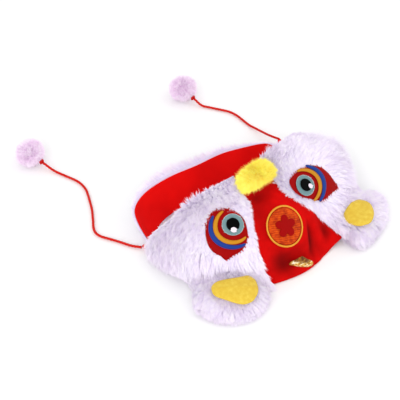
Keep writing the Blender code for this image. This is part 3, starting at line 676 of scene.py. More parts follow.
def laid(tree, axis, vector, **settings):
    """A rotation that lays an axis along a vector."""
    rotation = settings.pop("rotation", None)
    inputs = {"Vector": vector}
    if rotation is not None:
        inputs["Rotation"] = rotation
    return add(
        tree, "FunctionNodeAlignRotationToVector", inputs, axis=axis, **settings,
    ).outputs[0]


def toned(tree, instances, tone):
    """Gives each instance its own tone, for its finish to read as shade."""
    return add(tree, "GeometryNodeStoreNamedAttribute", {
        "Geometry": instances, "Name": "shade", "Value": tone,
    }, data_type="FLOAT", domain="INSTANCE").outputs[0]


def made_real(tree, one, other):
    """Two geometries as one plain mesh."""
    both = add(tree, "GeometryNodeJoinGeometry")
    tree.links.new(one, both.inputs[0])
    tree.links.new(other, both.inputs[0])
    return add(tree, "GeometryNodeRealizeInstances", {"Geometry": both.outputs[0]}).outputs[0]


def new_tree(name, sockets):
    """A Geometry Nodes tree with a geometry in and out and the named inputs."""
    tree = bpy.data.node_groups.new(name, "GeometryNodeTree")
    tree.interface.new_socket("Geometry", in_out="OUTPUT", socket_type="NodeSocketGeometry")
    tree.interface.new_socket("Geometry", in_out="INPUT", socket_type="NodeSocketGeometry")
    for label, kind in sockets:
        tree.interface.new_socket(label, in_out="INPUT", socket_type="NodeSocket" + kind)
    return tree, add(tree, "NodeGroupInput"), add(tree, "NodeGroupOutput")


def pile_tree():
    """Strands rooted all over a backing.

    The backing's points say where they go: thick is the share of the strands' number, free the share
    of their length, way how they are combed along the cloth, and lift how they stand out of it.
    """
    tree, given, out = new_tree("pile", [
        ("Strand", "Object"), ("Strands per m2", "Float"), ("Lock Size", "Float"),
        ("Lock Pull", "Float"), ("Disorder", "Float"), ("Swirl", "Float"), ("Seed", "Int"),
        ("Finish", "Material"),
    ])
    given = given.outputs
    at = add(tree, "GeometryNodeInputPosition").outputs[0]
    normal = named_value(tree, "out", "FLOAT_VECTOR")
    density = math_node(tree, "MULTIPLY", named_value(tree, "thick"), given["Strands per m2"])
    roots = add(tree, "GeometryNodeDistributePointsOnFaces", {
        "Mesh": given["Geometry"], "Density": density, "Seed": given["Seed"],
    }, distribute_method="RANDOM")

    # Strands lean together into locks, sway with their neighbours, and each strays on its own.
    lock = add(tree, "ShaderNodeTexVoronoi", {
        "Vector": at, "Scale": math_node(tree, "DIVIDE", 1.0, given["Lock Size"]),
    }, voronoi_dimensions="3D", feature="F1").outputs
    pull = scaled(tree, vector_node(tree, "SUBTRACT", lock["Position"], at), given["Lock Pull"])
    wander = add(tree, "FunctionNodeRandomValue", {
        0: (-1, -1, -1), 1: (1, 1, 1), "Seed": 3,
    }, data_type="FLOAT_VECTOR").outputs[0]
    sway = add(tree, "ShaderNodeTexNoise", {"Vector": at, "Scale": 60.0, "Detail": 2.0})
    centred = vector_node(tree, "SUBTRACT", sway.outputs["Color"], (0.5, 0.5, 0.5))
    alone = scaled(tree, wander, given["Disorder"])
    stray = vector_node(tree, "ADD", alone, scaled(tree, centred, given["Swirl"]))
    rise = math_node(tree, "MULTIPLY", named_value(tree, "lift"), chance(tree, 0.55, 1.4, 13))
    way = named_value(tree, "way", "FLOAT_VECTOR")
    combed = vector_node(tree, "ADD", way, scaled(tree, normal, rise))
    locked = vector_node(tree, "ADD", combed, pull)
    bent = vector_node(tree, "ADD", locked, stray)

    # None goes back into the cloth: each rises at least as much as LEAST_RISE out of it.
    standing = add(tree, "ShaderNodeVectorMath", {0: bent, 1: normal}, operation="DOT_PRODUCT")
    fallen = math_node(tree, "SUBTRACT", LEAST_RISE, standing.outputs["Value"])
    push = scaled(tree, normal, math_node(tree, "MAXIMUM", fallen, 0.0))
    clear = vector_node(tree, "ADD", bent, push)
    lengthwise = laid(tree, "Z", clear)
    flatwise = laid(tree, "Y", normal, rotation=lengthwise, pivot_axis="Z")
    length = math_node(tree, "MULTIPLY", chance(tree, 0.7, 1.15, 7), named_value(tree, "free"))
    size = add(tree, "ShaderNodeCombineXYZ", {0: chance(tree, 0.7, 1.3, 9), 1: length, 2: length})
    strand = add(tree, "GeometryNodeObjectInfo", {"Object": given["Strand"]})
    strands = add(tree, "GeometryNodeInstanceOnPoints", {
        "Points": roots.outputs["Points"], "Instance": strand.outputs["Geometry"],
        "Rotation": flatwise, "Scale": size.outputs[0],
    })
    lock_tone = add(tree, "FunctionNodeSeparateColor", {"Color": lock["Color"]}).outputs[0]
    half_tone = math_node(tree, "MULTIPLY", lock_tone, 0.5)
    tone = math_node(tree, "ADD", chance(tree, 0.0, 0.5, 11), half_tone)
    real = made_real(tree, given["Geometry"], toned(tree, strands.outputs[0], tone))

    # Strands that reach the floor lie on it.
    here = add(tree, "ShaderNodeSeparateXYZ", {0: at}).outputs
    above = math_node(tree, "MAXIMUM", here[2], STRAND_ON_FLOOR * MM)
    kept = add(tree, "ShaderNodeCombineXYZ", {0: here[0], 1: here[1], 2: above})
    on_floor = add(tree, "GeometryNodeSetPosition", {"Geometry": real, "Position": kept.outputs[0]})
    finished = add(tree, "GeometryNodeSetMaterial", {
        "Geometry": on_floor.outputs[0], "Material": given["Finish"],
    })
    tree.links.new(finished.outputs[0], out.inputs[0])
    return tree


def thread_tree():
    """Stitches on a mesh's points: way along a stitch, out of the cloth, and long, its length."""
    tree, given, out = new_tree("stitches", [
        ("Thread", "Object"), ("Ground", "Object"), ("Width", "Float"), ("Height", "Float"),
        ("Finish", "Material"),
    ])
    given = given.outputs
    lengthwise = laid(tree, "X", named_value(tree, "way", "FLOAT_VECTOR"))
    outward = named_value(tree, "out", "FLOAT_VECTOR")
    turned = laid(tree, "Z", outward, rotation=lengthwise, pivot_axis="X")
    size = add(tree, "ShaderNodeCombineXYZ", {
        0: named_value(tree, "long"), 1: given["Width"], 2: given["Height"],
    })
    stitch = add(tree, "GeometryNodeObjectInfo", {"Object": given["Thread"]})
    stitches = add(tree, "GeometryNodeInstanceOnPoints", {
        "Points": given["Geometry"], "Instance": stitch.outputs["Geometry"],
        "Rotation": turned, "Scale": size.outputs[0],
    })
    tone = math_node(tree, "ADD", chance(tree, -0.3, 0.3, 5), named_value(tree, "tone"))
    ground = add(tree, "GeometryNodeObjectInfo", {"Object": given["Ground"]})
    real = made_real(tree, ground.outputs["Geometry"], toned(tree, stitches.outputs[0], tone))
    finished = add(tree, "GeometryNodeSetMaterial", {"Geometry": real, "Material": given["Finish"]})
    tree.links.new(finished.outputs[0], out.inputs[0])
    return tree


def grown(made, tree, inputs):
    """Runs a tree on a piece with its inputs, and keeps the result as a plain mesh."""
    modifier = made.modifiers.new(tree.name, "NODES")
    modifier.node_group = tree
    for item in tree.interface.items_tree:
        if item.in_out == "INPUT" and item.name in inputs:
            modifier[item.identifier] = inputs[item.name]
    bpy.context.view_layer.update()
    graph = bpy.context.evaluated_depsgraph_get()
    mesh = bpy.data.meshes.new_from_object(made.evaluated_get(graph), depsgraph=graph)
    made.modifiers.remove(modifier)
    old = made.data
    made.data = mesh
    mesh.name = made.name
    bpy.data.meshes.remove(old)
    return made


def on_object(tree):
    return add(tree, "ShaderNodeTexCoord").outputs["Object"]


def object_noise(tree, millimetres, detail=2.0):
    """Noise on Object coordinates with features of about that size."""
    return add(tree, "ShaderNodeTexNoise", {
        "Vector": on_object(tree), "Scale": 1 / (millimetres * MM), "Detail": detail,
    }).outputs["Fac"]


def ramp(tree, value, stops):
    """A colour ramp; stops are (position, hex)."""
    made = add(tree, "ShaderNodeValToRGB", {"Fac": value})
    elements = made.color_ramp.elements
    while len(elements) < len(stops):
        elements.new(1.0)
    for element, (position, hexed) in zip(elements, stops):
        element.position = position
        element.color = linear(hexed)
    return made.outputs["Color"]


def mixed(tree, share, one, other, blend="MIX"):
    """Two colours mixed, each a hex value or another node's socket."""
    made = add(tree, "ShaderNodeMix", {0: share}, data_type="RGBA", blend_type=blend)
    for key, value in ((6, one), (7, other)):
        if isinstance(value, str):
            made.inputs[key].default_value = linear(value)
        else:
            tree.links.new(value, made.inputs[key])
    return made.outputs[2]


def bumped(tree, shader, height, depth):
    """Relief of a depth in millimetres."""
    bump = add(tree, "ShaderNodeBump", {"Height": height, "Distance": depth * MM, "Strength": 1.0})
    tree.links.new(bump.outputs[0], shader.inputs["Normal"])


def attribute(tree, name):
    return add(tree, "ShaderNodeAttribute", attribute_name=name).outputs["Fac"]


def plush(name, root, low, tip, fringe, warm, glow):
    """Long synthetic pile: painted shade at its roots, bright at its tips, each strand a little
    different.
    """
    made, tree, shader = finish_named(
        name, Roughness=0.8, Sheen_Weight=0.15, Sheen_Roughness=0.4, Specular_IOR_Level=0.2,
    )
    # Painted shade: the root colour stands for the pile's shaded depth, so the strands are drawn
    # darker towards their roots.
    stops = [(0.0, root), (0.45, low), (0.75, tip), (1.0, fringe)]
    along = ramp(tree, attribute(tree, "along"), stops)
    strand = ramp(tree, attribute(tree, "shade"), [(0.15, root), (0.45, low), (0.75, tip)])
    both = mixed(tree, 0.45, along, strand)
    patches = ramp(tree, object_noise(tree, 16.0), [(0.38, warm), (0.6, tip)])
    tinted = mixed(tree, 0.3, both, patches, "MULTIPLY")
    tree.links.new(tinted, shader.inputs["Base Color"])
    # The fibres let light through to those below them; a faint painted glow, emission that lightens
    # the pile's shade, stands in for that.
    shader.inputs["Emission Color"].default_value = linear(low)
    shader.inputs["Emission Strength"].default_value = glow
    return made


def red_velvet():
    """Short-pile polyester velvet: matt, its nap uneven, with painted shade darkening it in its folds.
    """
    made, tree, shader = finish_named(
        "red_polyester_velvet", Roughness=0.9, Sheen_Weight=0.08, Sheen_Roughness=0.4,
        Specular_IOR_Level=0.08,
    )
    shader.inputs["Sheen Tint"].default_value = linear("FF2010")
    reds = [(0.3, "BC0202"), (0.55, "D00403"), (0.75, "E00806")]
    nap = ramp(tree, object_noise(tree, 14.0, 5.0), reds)
    # Painted shade: where hollow is high the red is mixed towards 700000, darkest deep in the folds
    # and creases.
    nap_with_painted_shade = mixed(tree, attribute(tree, "hollow"), nap, "700000")
    tree.links.new(nap_with_painted_shade, shader.inputs["Base Color"])
    # Real pile is 0.1 mm thick; its tufts are drawn 1.5 mm wide so that they show.
    bumped(tree, shader, object_noise(tree, 1.5, 3.0), 0.12)
    return made


def red_knit():
    """Smooth warp-knitted lining: flat bright red, with fine wales."""
    made, tree, shader = finish_named(
        "red_warp_knit", Roughness=0.8, Sheen_Weight=0.03, Specular_IOR_Level=0.08,
    )
    tone = ramp(tree, object_noise(tree, 30.0), [(0.3, "DC0202"), (0.7, "EE0604")])
    tree.links.new(tone, shader.inputs["Base Color"])
    # The wales are 0.3 mm apart; they are drawn coarser so that they show.
    wales = add(tree, "ShaderNodeTexWave", {
        "Vector": on_object(tree), "Scale": 350.0, "Distortion": 2.0,
    })
    bumped(tree, shader, wales.outputs["Fac"], 0.08)
    return made


def felt(name, dark, middle, pale):
    """Needled felt: matt, mottled, with short loose fibres."""
    made, tree, shader = finish_named(
        name, Roughness=0.95, Sheen_Weight=0.1, Sheen_Roughness=0.6, Specular_IOR_Level=0.1,
    )
    mottle = ramp(tree, object_noise(tree, 3.5, 5.0), [(0.25, dark), (0.5, middle), (0.75, pale)])
    tree.links.new(mottle, shader.inputs["Base Color"])
    bumped(tree, shader, object_noise(tree, 0.9, 4.0), 0.2)
    return made


def thread(name, dark, middle, pale, roughness=0.5, gloss=0.12):
    """Embroidery thread: a soft gloss along each stitch, stitches a little lighter or darker."""
    made, tree, shader = finish_named(
        name, Roughness=roughness, Sheen_Weight=0.03, Specular_IOR_Level=gloss,
    )
    tone = ramp(tree, attribute(tree, "shade"), [(0.0, dark), (0.6, middle), (1.0, pale)])
    tree.links.new(tone, shader.inputs["Base Color"])
    bumped(tree, shader, object_noise(tree, 0.5, 2.0), 0.1)
    return made


def satin(name, dark, middle, pale):
    """Satin stitch in polyester: close rows of floats, glossy, with painted shade between the rows."""
    made, tree, shader = finish_named(
        name, Roughness=0.42, Sheen_Weight=0.03, Specular_IOR_Level=0.08,
    )
    # The rows are 0.5 mm apart; they are drawn 1.3 mm apart so that they show.
    rows = add(tree, "ShaderNodeTexWave", {
        "Vector": on_object(tree), "Scale": 240.0, "Distortion": 3.0, "Detail": 2.0,
    }, bands_direction="DIAGONAL").outputs["Fac"]
    # Painted shade between the rows, where the relief is low, over a random mottle.
    uneven = math_node(tree, "MULTIPLY_ADD", rows, 0.25, object_noise(tree, 4.0, 3.0))
    tone = ramp(tree, uneven, [(0.4, dark), (0.62, middle), (0.88, pale)])
    tree.links.new(tone, shader.inputs["Base Color"])
    bumped(tree, shader, rows, 0.2)
    return made


def gold_lame():
    """Pleated gold lame, metal yarn: bright and glittering on the ruffle, dull dark brown above it."""
    made, tree, shader = finish_named("gold_lame", Metallic=0.6, Roughness=0.3)
    # The yarn's specks are 0.3 mm; they are drawn 1.3 mm wide so that they show.
    specks = add(tree, "ShaderNodeTexVoronoi", {"Vector": on_object(tree), "Scale": 780.0})
    fleck = add(tree, "ShaderNodeSeparateColor", {"Color": specks.outputs["Color"]}).outputs
    golds = [(0.0, "A06A14"), (0.4, "DCA63C"), (0.7, "FFE088"), (0.9, "FFFBE0")]
    bright = ramp(tree, fleck[0], golds)
    dull = ramp(tree, fleck[0], [(0.0, "5A3206"), (0.6, "855014"), (1.0, "A87424")])
    both = mixed(tree, attribute(tree, "ruffle"), dull, bright)
    tree.links.new(both, shader.inputs["Base Color"])
    bumped(tree, shader, fleck[1], 0.25)
    return made


def twisted_cord():
    """Twisted polyester cord: three plies with a satin gloss, with painted shade in the grooves
    between them.
    """
    made, tree, shader = finish_named("red_twisted_cord", Roughness=0.45, Specular_IOR_Level=0.1)
    reds = [(0.0, "720204"), (0.5, "C60A08"), (1.0, "E8301E")]
    # Painted shade: ply is 0 in a groove, drawn dark red, and 1 on a crest, drawn lightest.
    tone = ramp(tree, attribute(tree, "ply"), reds)
    tree.links.new(tone, shader.inputs["Base Color"])
    bumped(tree, shader, object_noise(tree, 0.5), 0.1)
    return made


def dress(made, node):
    """The finished piece takes its CAD node's place."""
    made.name = made.data.name = node + "_dressed"
    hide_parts(node)
    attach(made, "root")


TEMPLATES = []   # helper objects, removed when all pieces are made


def make_strand(name, length, width, bend):
    """One strand, broad at its root, bent over and pointed; along it runs from 0 to 1."""
    points, faces = [], [[0, 1, 3, 2], [2, 3, 4]]
    for share, wide, out in ((0.0, 1.0, 0.0), (0.5, 0.8, 1.0)):
        for side in (-0.5, 0.5):
            points.append(MIDDLE + Vector((side * wide * width, out * bend, share * length)))
    points.append(MIDDLE + Vector((0, -0.2 * bend, length)))
    made = make_piece(name, points, faces, None, values={"along": [0, 0, 0.5, 0.5, 1]})
    TEMPLATES.append(made)
    return made


def make_thread():
    """One stitch of unit size, half round, its ends going down into the cloth."""
    lengthwise = ((-0.5, 0.0), (-0.38, 0.8), (0.0, 1.0), (0.38, 0.8), (0.5, 0.0))
    sideways = ((-0.5, 0.0), (-0.28, 0.75), (0.28, 0.75), (0.5, 0.0))
    points, faces = [], []
    for x, rise in lengthwise:
        for y, height in sideways:
            points.append(MIDDLE + Vector((x, y, height * rise)) / MM)
    wide = len(sideways)
    for row in range(len(lengthwise) - 1):
        for k in range(wide - 1):
            near = row * wide + k
            faces.append([near, near + wide, near + wide + 1, near + 1])
    made = make_piece("one_stitch", points, faces, None)
    TEMPLATES.append(made)
    return made


Stitch = namedtuple("Stitch", "middle way out long tone", defaults=[0.35])


def embroider(name, rows, ground, width, height, finish):
    """Stitches over a ground, as one piece."""
    values = {
        "way": [row.way for row in rows], "out": [row.out for row in rows],
        "long": [row.long * MM for row in rows], "tone": [row.tone for row in rows],
    }
    made = make_piece(name, [row.middle for row in rows], [], None, values=values)
    ground.hide_render = True
    grown(made, THREAD_TREE, {
        "Thread": ONE_STITCH, "Ground": ground, "Width": width * MM, "Height": height * MM,
        "Finish": finish,
    })
    TEMPLATES.append(ground)
    dress(made, name)


def eye_outside(across, down):
    """How far a place is from the nearer eye's patch, negative on it, and the way from its middle."""
    found = []
    for eye, spot in zip(EYES, EYE_SPOTS):
        a, b = spot.seen(across, down)
        reach = eye_reach(eye.side, math.degrees(math.atan2(b, a)))
        found.append((math.hypot(a, b) - reach, a, b))
    return min(found)


def eye_reach(side, angle):
    """The patch's reach from the iris's middle at an angle, on a smooth line through its table."""
    rows = EYE_EDGES[side]
    angle %= 360
    for k in range(len(rows)):
        near = []
        for j in range(k - 1, k + 3):
            row = rows[j % len(rows)]
            at = row.angle
            while near and at < near[-1][0]:
                at += 360
            near.append((at, row.reach))
        for lap in (0, 360):
            if near[1][0] <= angle + lap <= near[2][0]:
                return through(*near, angle + lap)


def lying(across, down):
    """How the face's pile lies at a place: way, lift, free and thick."""
    _, outward, downward = facing(across, clamp(down, *WITHIN_EDGES))
    right = outward.cross(downward)
    around = from_middle(across)
    on_left = around < 0
    outside, a, b = eye_outside(across, down)
    from_eye = (right * a + downward * b).normalized()

    # It is combed to the hem, fans out on the right from the eye, and turns away at both eyes' edges.
    fan = 0.0
    if 0 < around < 130:
        fan = 0.75 * math.exp(-max(0.0, outside) / 45) * (1.0 if b < 0 else 0.4)
    way = downward * (1 - fan) + from_eye * fan * 1.2
    near_eye = math.exp(-max(0.0, outside) / 12)
    way = way * (1 - 0.6 * near_eye) + from_eye * near_eye * 0.8

    # Near the rim it stands up, and leans over the lining where the photo shows it long.
    long_rim = rim_share(around)
    at_rim = max(0.0, 1 - down / 0.12)
    lean = max(0.0, 1 - down / 0.3) ** 2
    way = way * (1 - lean) + downward * (0.3 - 0.8 * long_rim) * lean
    lift = 0.6 + 0.5 * at_rim * long_rim
    free = 0.75 + 0.3 * free_pile(across, down)
    free *= 1 - (1 - long_rim) * at_rim

    # It is short behind the right brow, long on the right flank, short on the left flank and long
    # again beside the left seam.
    behind_brow = clamp((around - 68) / 25)
    free *= 1 - 0.6 * behind_brow * max(0.0, 1 - down / 0.45)
    free *= 1 + 0.6 * bell(around, 104, 25) * bell(down, 0.42, 0.2)
    free *= 1 - 0.5 * bell(around, -98, 16) * max(0.0, down - 0.6) / 0.4
    free *= 1 + 0.35 * bell(around, -126, 12) * max(0.0, down - 0.5) / 0.5

    # Over the ears' roots it is longest and hangs down.
    over_ear = max(bell(around, ear.across, 24) for ear in EARS) * clamp((down - 0.6) / 0.12)
    free *= 1 + (1.2 if on_left else 0.85) * over_ear
    lift += 0.3 * over_ear
    way = way + Vector((0, 0, -0.5)) * over_ear

    # It is clipped short along the nose panel, round the eyes and under the tuft, and there is none
    # under the eyes and the tuft themselves.
    if not on_left or down < 0.5:
        by_nose = abs(around - nose_edge("left" if on_left else "right", down))
        free *= 1 - 0.45 * math.exp(-by_nose / 6)
    if on_left:
        hollow = 0.5 * bell(abs(a), 14, 7) * bell(b, 23, 8)
    else:
        hollow = 0.6 * bell(a, 7, 15) * bell(b, -24, 9)
    free *= clamp(0.42 + outside / 14, 0.3) * (1 - hollow)
    a, b = TUFT_SPOT.seen(across, down)
    from_tuft = math.hypot(a / (TUFT_HALF + 2), b / (TUFT_UP if b < 0 else TUFT_LOW + 2))
    free *= clamp((from_tuft - 0.7) / 0.6, 0.35)
    thick = 0.0 if outside < -2.5 or from_tuft < 0.7 else 1.0
    return way, lift, free, thick


def rim_share(around):
    """How much of its length the pile keeps along the rim."""
    for one, other in zip(RIM_PILE, RIM_PILE[1:]):
        if around <= other.across:
            break
    share = clamp((around - one.across) / (other.across - one.across))
    return one.share + (other.share - one.share) * share


def lying_behind(across, down):
    """How the band's pile lies: upright along the rim, combed down below it, short near the seams."""
    _, _, downward = facing(across, clamp(down, *WITHIN_EDGES))
    at_rim = max(0.0, 1 - down / 0.5)
    left = min(1.0, 1.5 * max(0.0, 1 - abs((across - (ROUND + SEAM_LEFT))) / 75))
    right = max(0.0, 1 - abs(across - SEAM_RIGHT) / 110)
    way = downward * (0.7 - 1.5 * at_rim)
    free = (0.75 + 0.4 * at_rim) * (1 - 0.92 * left) * (1 - 0.88 * right)
    return way, 0.6, free * (0.6 + 0.4 * free_pile(across, down)), 1.0


def plush_panel(name, start, end, columns, rows, lying, count, length=1.0):
    """White plush sewn into the ring between two lines, each the place it has at a height."""
    outer, inner = [], []
    values = {key: [] for key in PILE_VALUES}
    for line in range(rows + 1):
        down = line / rows
        for column in range(columns + 1):
            across = start(down) + (end(down) - start(down)) * column / columns
            outer.append(place(across, down, BACKING))
            inner.append(place(across, down))
            way, lift, free, thick = lying(across, down)
            values["way"].append(way)
            values["out"].append(facing(across, down)[1])
            values["lift"].append(lift)
            values["free"].append(free * length)
            values["thick"].append(thick)
    for key, numbers in values.items():
        numbers += [0.0] * len(outer) if key == "thick" else list(numbers)
    faces = wall_faces(rows + 1, columns + 1)
    made = make_piece(name, outer + inner, faces, None, values=values)
    grow_pile(made, count, FACE_STRAND, WHITE)
    dress(made, name)


def grow_pile(
    made, count, strand, finish, lock_size=3.2, lock_pull=125.0, disorder=0.2, swirl=0.8, seed=1,
):
    """Pile on a backing, count strands in all."""
    turn_out(made)
    thick = np.array([item.value for item in made.data.attributes["thick"].data])
    area = 0.0
    for face in made.data.polygons:
        area += face.area * thick[list(face.vertices)].mean()
    grown(made, PILE_TREE, {
        "Strand": strand, "Strands per m2": count / area, "Lock Size": lock_size * MM,
        "Lock Pull": lock_pull, "Disorder": disorder, "Swirl": swirl, "Seed": seed,
        "Finish": finish,
    })


def lining_top(across):
    """Where the lining starts: below the rim, which its plush laps over, most of all behind."""
    middle_of_back = (SEAM_RIGHT + ROUND + SEAM_LEFT) / 2
    behind = max(0.0, 1 - abs(across - middle_of_back) / 90)
    return 0.01 + 0.06 * min(1.0, 2 * behind)


def cloth_panel(
    name, start, end, columns, rows, low, high, finish,
    top=None, bottom=1.0, closed=False, behind=None, fold=None,
):
    """Plain cloth from low to high out of the ring's surface; hollow, 1 deep in a fold, is how much
    painted shade a finish puts there.
    """
    outer, inner, hollow = [], [], []
    lines, wide = rows + 1, columns + (0 if closed else 1)
    for line in range(lines):
        for column in range(wide):
            down = bottom * line / rows
            across = start(down) + (end(down) - start(down)) * column / columns
            if top:
                down = top(across) + (bottom - top(across)) * line / rows
            more = behind(across, down) if behind else 0.0
            dent = fold(across, down) if fold else 0.0
            outer.append(place(across, down, high + more + dent))
            inner.append(place(across, down, low + more + dent))
            # Painted shade: the deeper a dent, the darker the velvet is drawn there.
            hollow.append(clamp(-(dent + 0.3 * relief(across, down)) / 3.0))
    faces = wall_faces(lines, wide, closed)
    values = {"hollow": hollow * 2}
    made = make_piece(name, outer + inner, faces, finish, values=values)
    turn_out(made)
    dress(made, name)
    return made


def clear_of_folds(across, down):
    """How much further in than the ring's surface the lining lies to pass behind the folds near by."""
    near = []
    for step in (-2, -1, 0, 1, 2):
        for other in (-2, -1, 0, 1, 2):
            beside, below = across + 3.5 * step, down + 0.06 * other
            near.append(relief(beside, below) + min(0.0, creased(beside, below)))
    return min(near) - relief(across, down)


def plate(
    name, spot, outline, middle, low, high, finish, shares=(0.3, 0.6, 0.85, 0.96),
):
    """An applique bent over the ring, with a soft rolled edge; its outline is a list of (a, b)."""

    def ring(share, out):
        return [
            spot.point(middle[0] + (a - middle[0]) * share, middle[1] + (b - middle[1]) * share, out)
            for a, b in outline
        ]

    rings = [ring(share, low) for share in shares[:-1]]
    rings.append(ring(0.98, low))
    rings.append(ring(1.0, (low + high) / 2))
    rings += [ring(share, high - (0.12 if share > 0.9 else 0.0)) for share in reversed(shares)]
    points, faces = loft(rings, spot.point(*middle, low), spot.point(*middle, high))
    made = make_piece(name, points, faces, finish)
    turn_out(made)
    return made


def circle(radius, count, stretch=1.0):
    return [
        (radius * math.cos(turn) * stretch, radius * math.sin(turn)) for turn in full_turn(count)
    ]


def fill_stitches(spot, inside, reach, turn, pitch, long, out, wander):
    """Rows of stitches laid like bricks over a shape: inside says whether a place belongs to it."""
    found = []
    turn = math.radians(turn)
    steps = int(reach / pitch)
    for row in range(-steps, steps + 1):
        shift = (row % 3) / 3 * long
        for k in range(-int(reach / long) - 1, int(reach / long) + 2):
            along = k * long + shift + wander.uniform(-0.1, 0.1) * long
            across = row * pitch
            a = along * math.cos(turn) - across * math.sin(turn)
            b = along * math.sin(turn) + across * math.cos(turn)
            if not inside(a, b):
                continue
            middle, right, down, outward = spot.frame(a, b, out)
            way = right * math.cos(turn) + down * math.sin(turn)
            found.append(Stitch(middle, way, outward, long * 1.05))
    return found


def arc_width(width, share):
    """A curved strip's width, which narrows towards its two ends."""
    return width * (0.35 + 0.65 * max(0.0, math.sin(math.pi * share)) ** 0.5)


def arc_stitches(spot, centre, stretch, radius, width, start, end, pitch, out):
    """Satin stitches across a curved strip."""
    found = []
    count = int(abs(math.radians(end - start)) * radius * stretch / pitch)
    for k in range(count + 1):
        angle = math.radians(start + (end - start) * k / count)
        a = centre[0] + radius * math.cos(angle) * stretch
        b = centre[1] + radius * math.sin(angle)
        middle, right, down, outward = spot.frame(a, b, out)
        way = right * math.cos(angle) + down * math.sin(angle)
        found.append(Stitch(middle, way, outward, arc_width(width, k / count)))
    return found


def arc_ground(spot, centre, stretch, radius, width, start, end, low, high):
    """The padding under an arc's stitches."""
    count = 40
    outer, inner = [], []
    for side in (-0.46, 0.0, 0.46):
        for k in range(count + 1):
            angle = math.radians(start + (end - start) * k / count)
            reach = radius + side * arc_width(width, k / count)
            a = centre[0] + reach * math.cos(angle) * stretch
            b = centre[1] + reach * math.sin(angle)
            outer.append(spot.point(a, b, high))
            inner.append(spot.point(a, b, low))
    made = make_piece("ground", outer + inner, wall_faces(3, count + 1), None)
    turn_out(made)
    return made


def make_eye(eye, spot):
    """Patch, blue and gold arcs, iris, pupil and glint of one eye, in satin and filling stitches."""
    wander = random.Random(11)
    base = PRESSED + GAP
    on_patch = base + EYE_LAYER + GAP
    on_iris = on_patch + EYE_LAYER + GAP
    on_pupil = on_iris + EYE_LAYER + GAP

    def turned(angle):
        return (angle if eye.mirror > 0 else 180 - angle) + eye.turn

    def on_cloth(a, b):
        return math.hypot(a, b) < eye_reach(eye.side, math.degrees(math.atan2(b, a))) - 0.6

    outline = []
    for angle in range(0, 360, 4):
        reach = eye_reach(eye.side, float(angle))
        outline.append((reach * math.cos(math.radians(angle)), reach * math.sin(math.radians(angle))))
    middle = (-5 * eye.mirror, 4)
    ground = plate("ground", spot, outline, middle, base, base + EYE_LAYER * 0.75, None)
    rows = fill_stitches(
        spot, on_cloth, 40, 70 * eye.mirror, 0.8, 5.0, base + EYE_LAYER * 0.6, wander,
    )
    embroider(
        "eye_patch_" + eye.side, rows, ground, 0.85, 0.3, THREADS["dark_red"],
    )
    for label, slot, centre, radius, width, start, end in (
        ("eye_blue_arc_", "blue", (-0.8 * eye.mirror, 0.7), 18.0, 4.2, eye.blue_start, eye.blue_end),
        ("eye_gold_arc_", "gold", (-0.7 * eye.mirror, 0.6), 14.0, 3.8, 62, eye.gold_end),
    ):
        shape = (spot, centre, eye.stretch, radius, width, turned(start), turned(end))
        ground = arc_ground(*shape, on_patch, on_patch + EYE_LAYER * 0.6)
        rows = arc_stitches(*shape, 0.6, on_patch + EYE_LAYER * 0.45)
        embroider(label + eye.side, rows, ground, 0.66, 0.35, THREADS[slot])
    for label, slot, radius, at, stretch, out, turn in (
        ("eye_iris_", "grey", 9.0, (0, 0), eye.stretch, on_patch, 0),
        ("eye_pupil_", "black", 5.4, (0, 0), eye.stretch, on_iris, 90),
        ("eye_glint_", "white", 2.2, (eye.glint_a, eye.glint_b), 1.0, on_pupil, 30),
    ):
        edge = [(a + at[0], b + at[1]) for a, b in circle(radius, 40, stretch)]
        ground = plate("ground", spot, edge, at, out, out + EYE_LAYER * 0.7, None)

        def on_disc(a, b):
            return math.hypot((a - at[0]) / stretch, b - at[1]) < radius - 0.5

        rows = fill_stitches(spot, on_disc, 12, turn, 0.6, 2.6, out + EYE_LAYER * 0.55, wander)
        if slot == "grey":
            # Two rings of pale stitches, at the iris's edge and round the pupil.
            for rim in (radius - 0.7, 6.1):
                ring = arc_stitches(spot, at, stretch, rim, 1.2, 0, 358, 0.6, out + EYE_LAYER * 0.6)
                rows += [row._replace(long=1.3, tone=1.0) for row in ring]
        embroider(label + eye.side, rows, ground, 0.62, 0.3, THREADS[slot])


def petal_reach(turn):
    """How far the blossom reaches from its middle, petal by petal."""
    return PETAL_ROOT + (PETAL_TIP - PETAL_ROOT) * abs(math.cos(PETALS * turn / 2)) ** 0.8


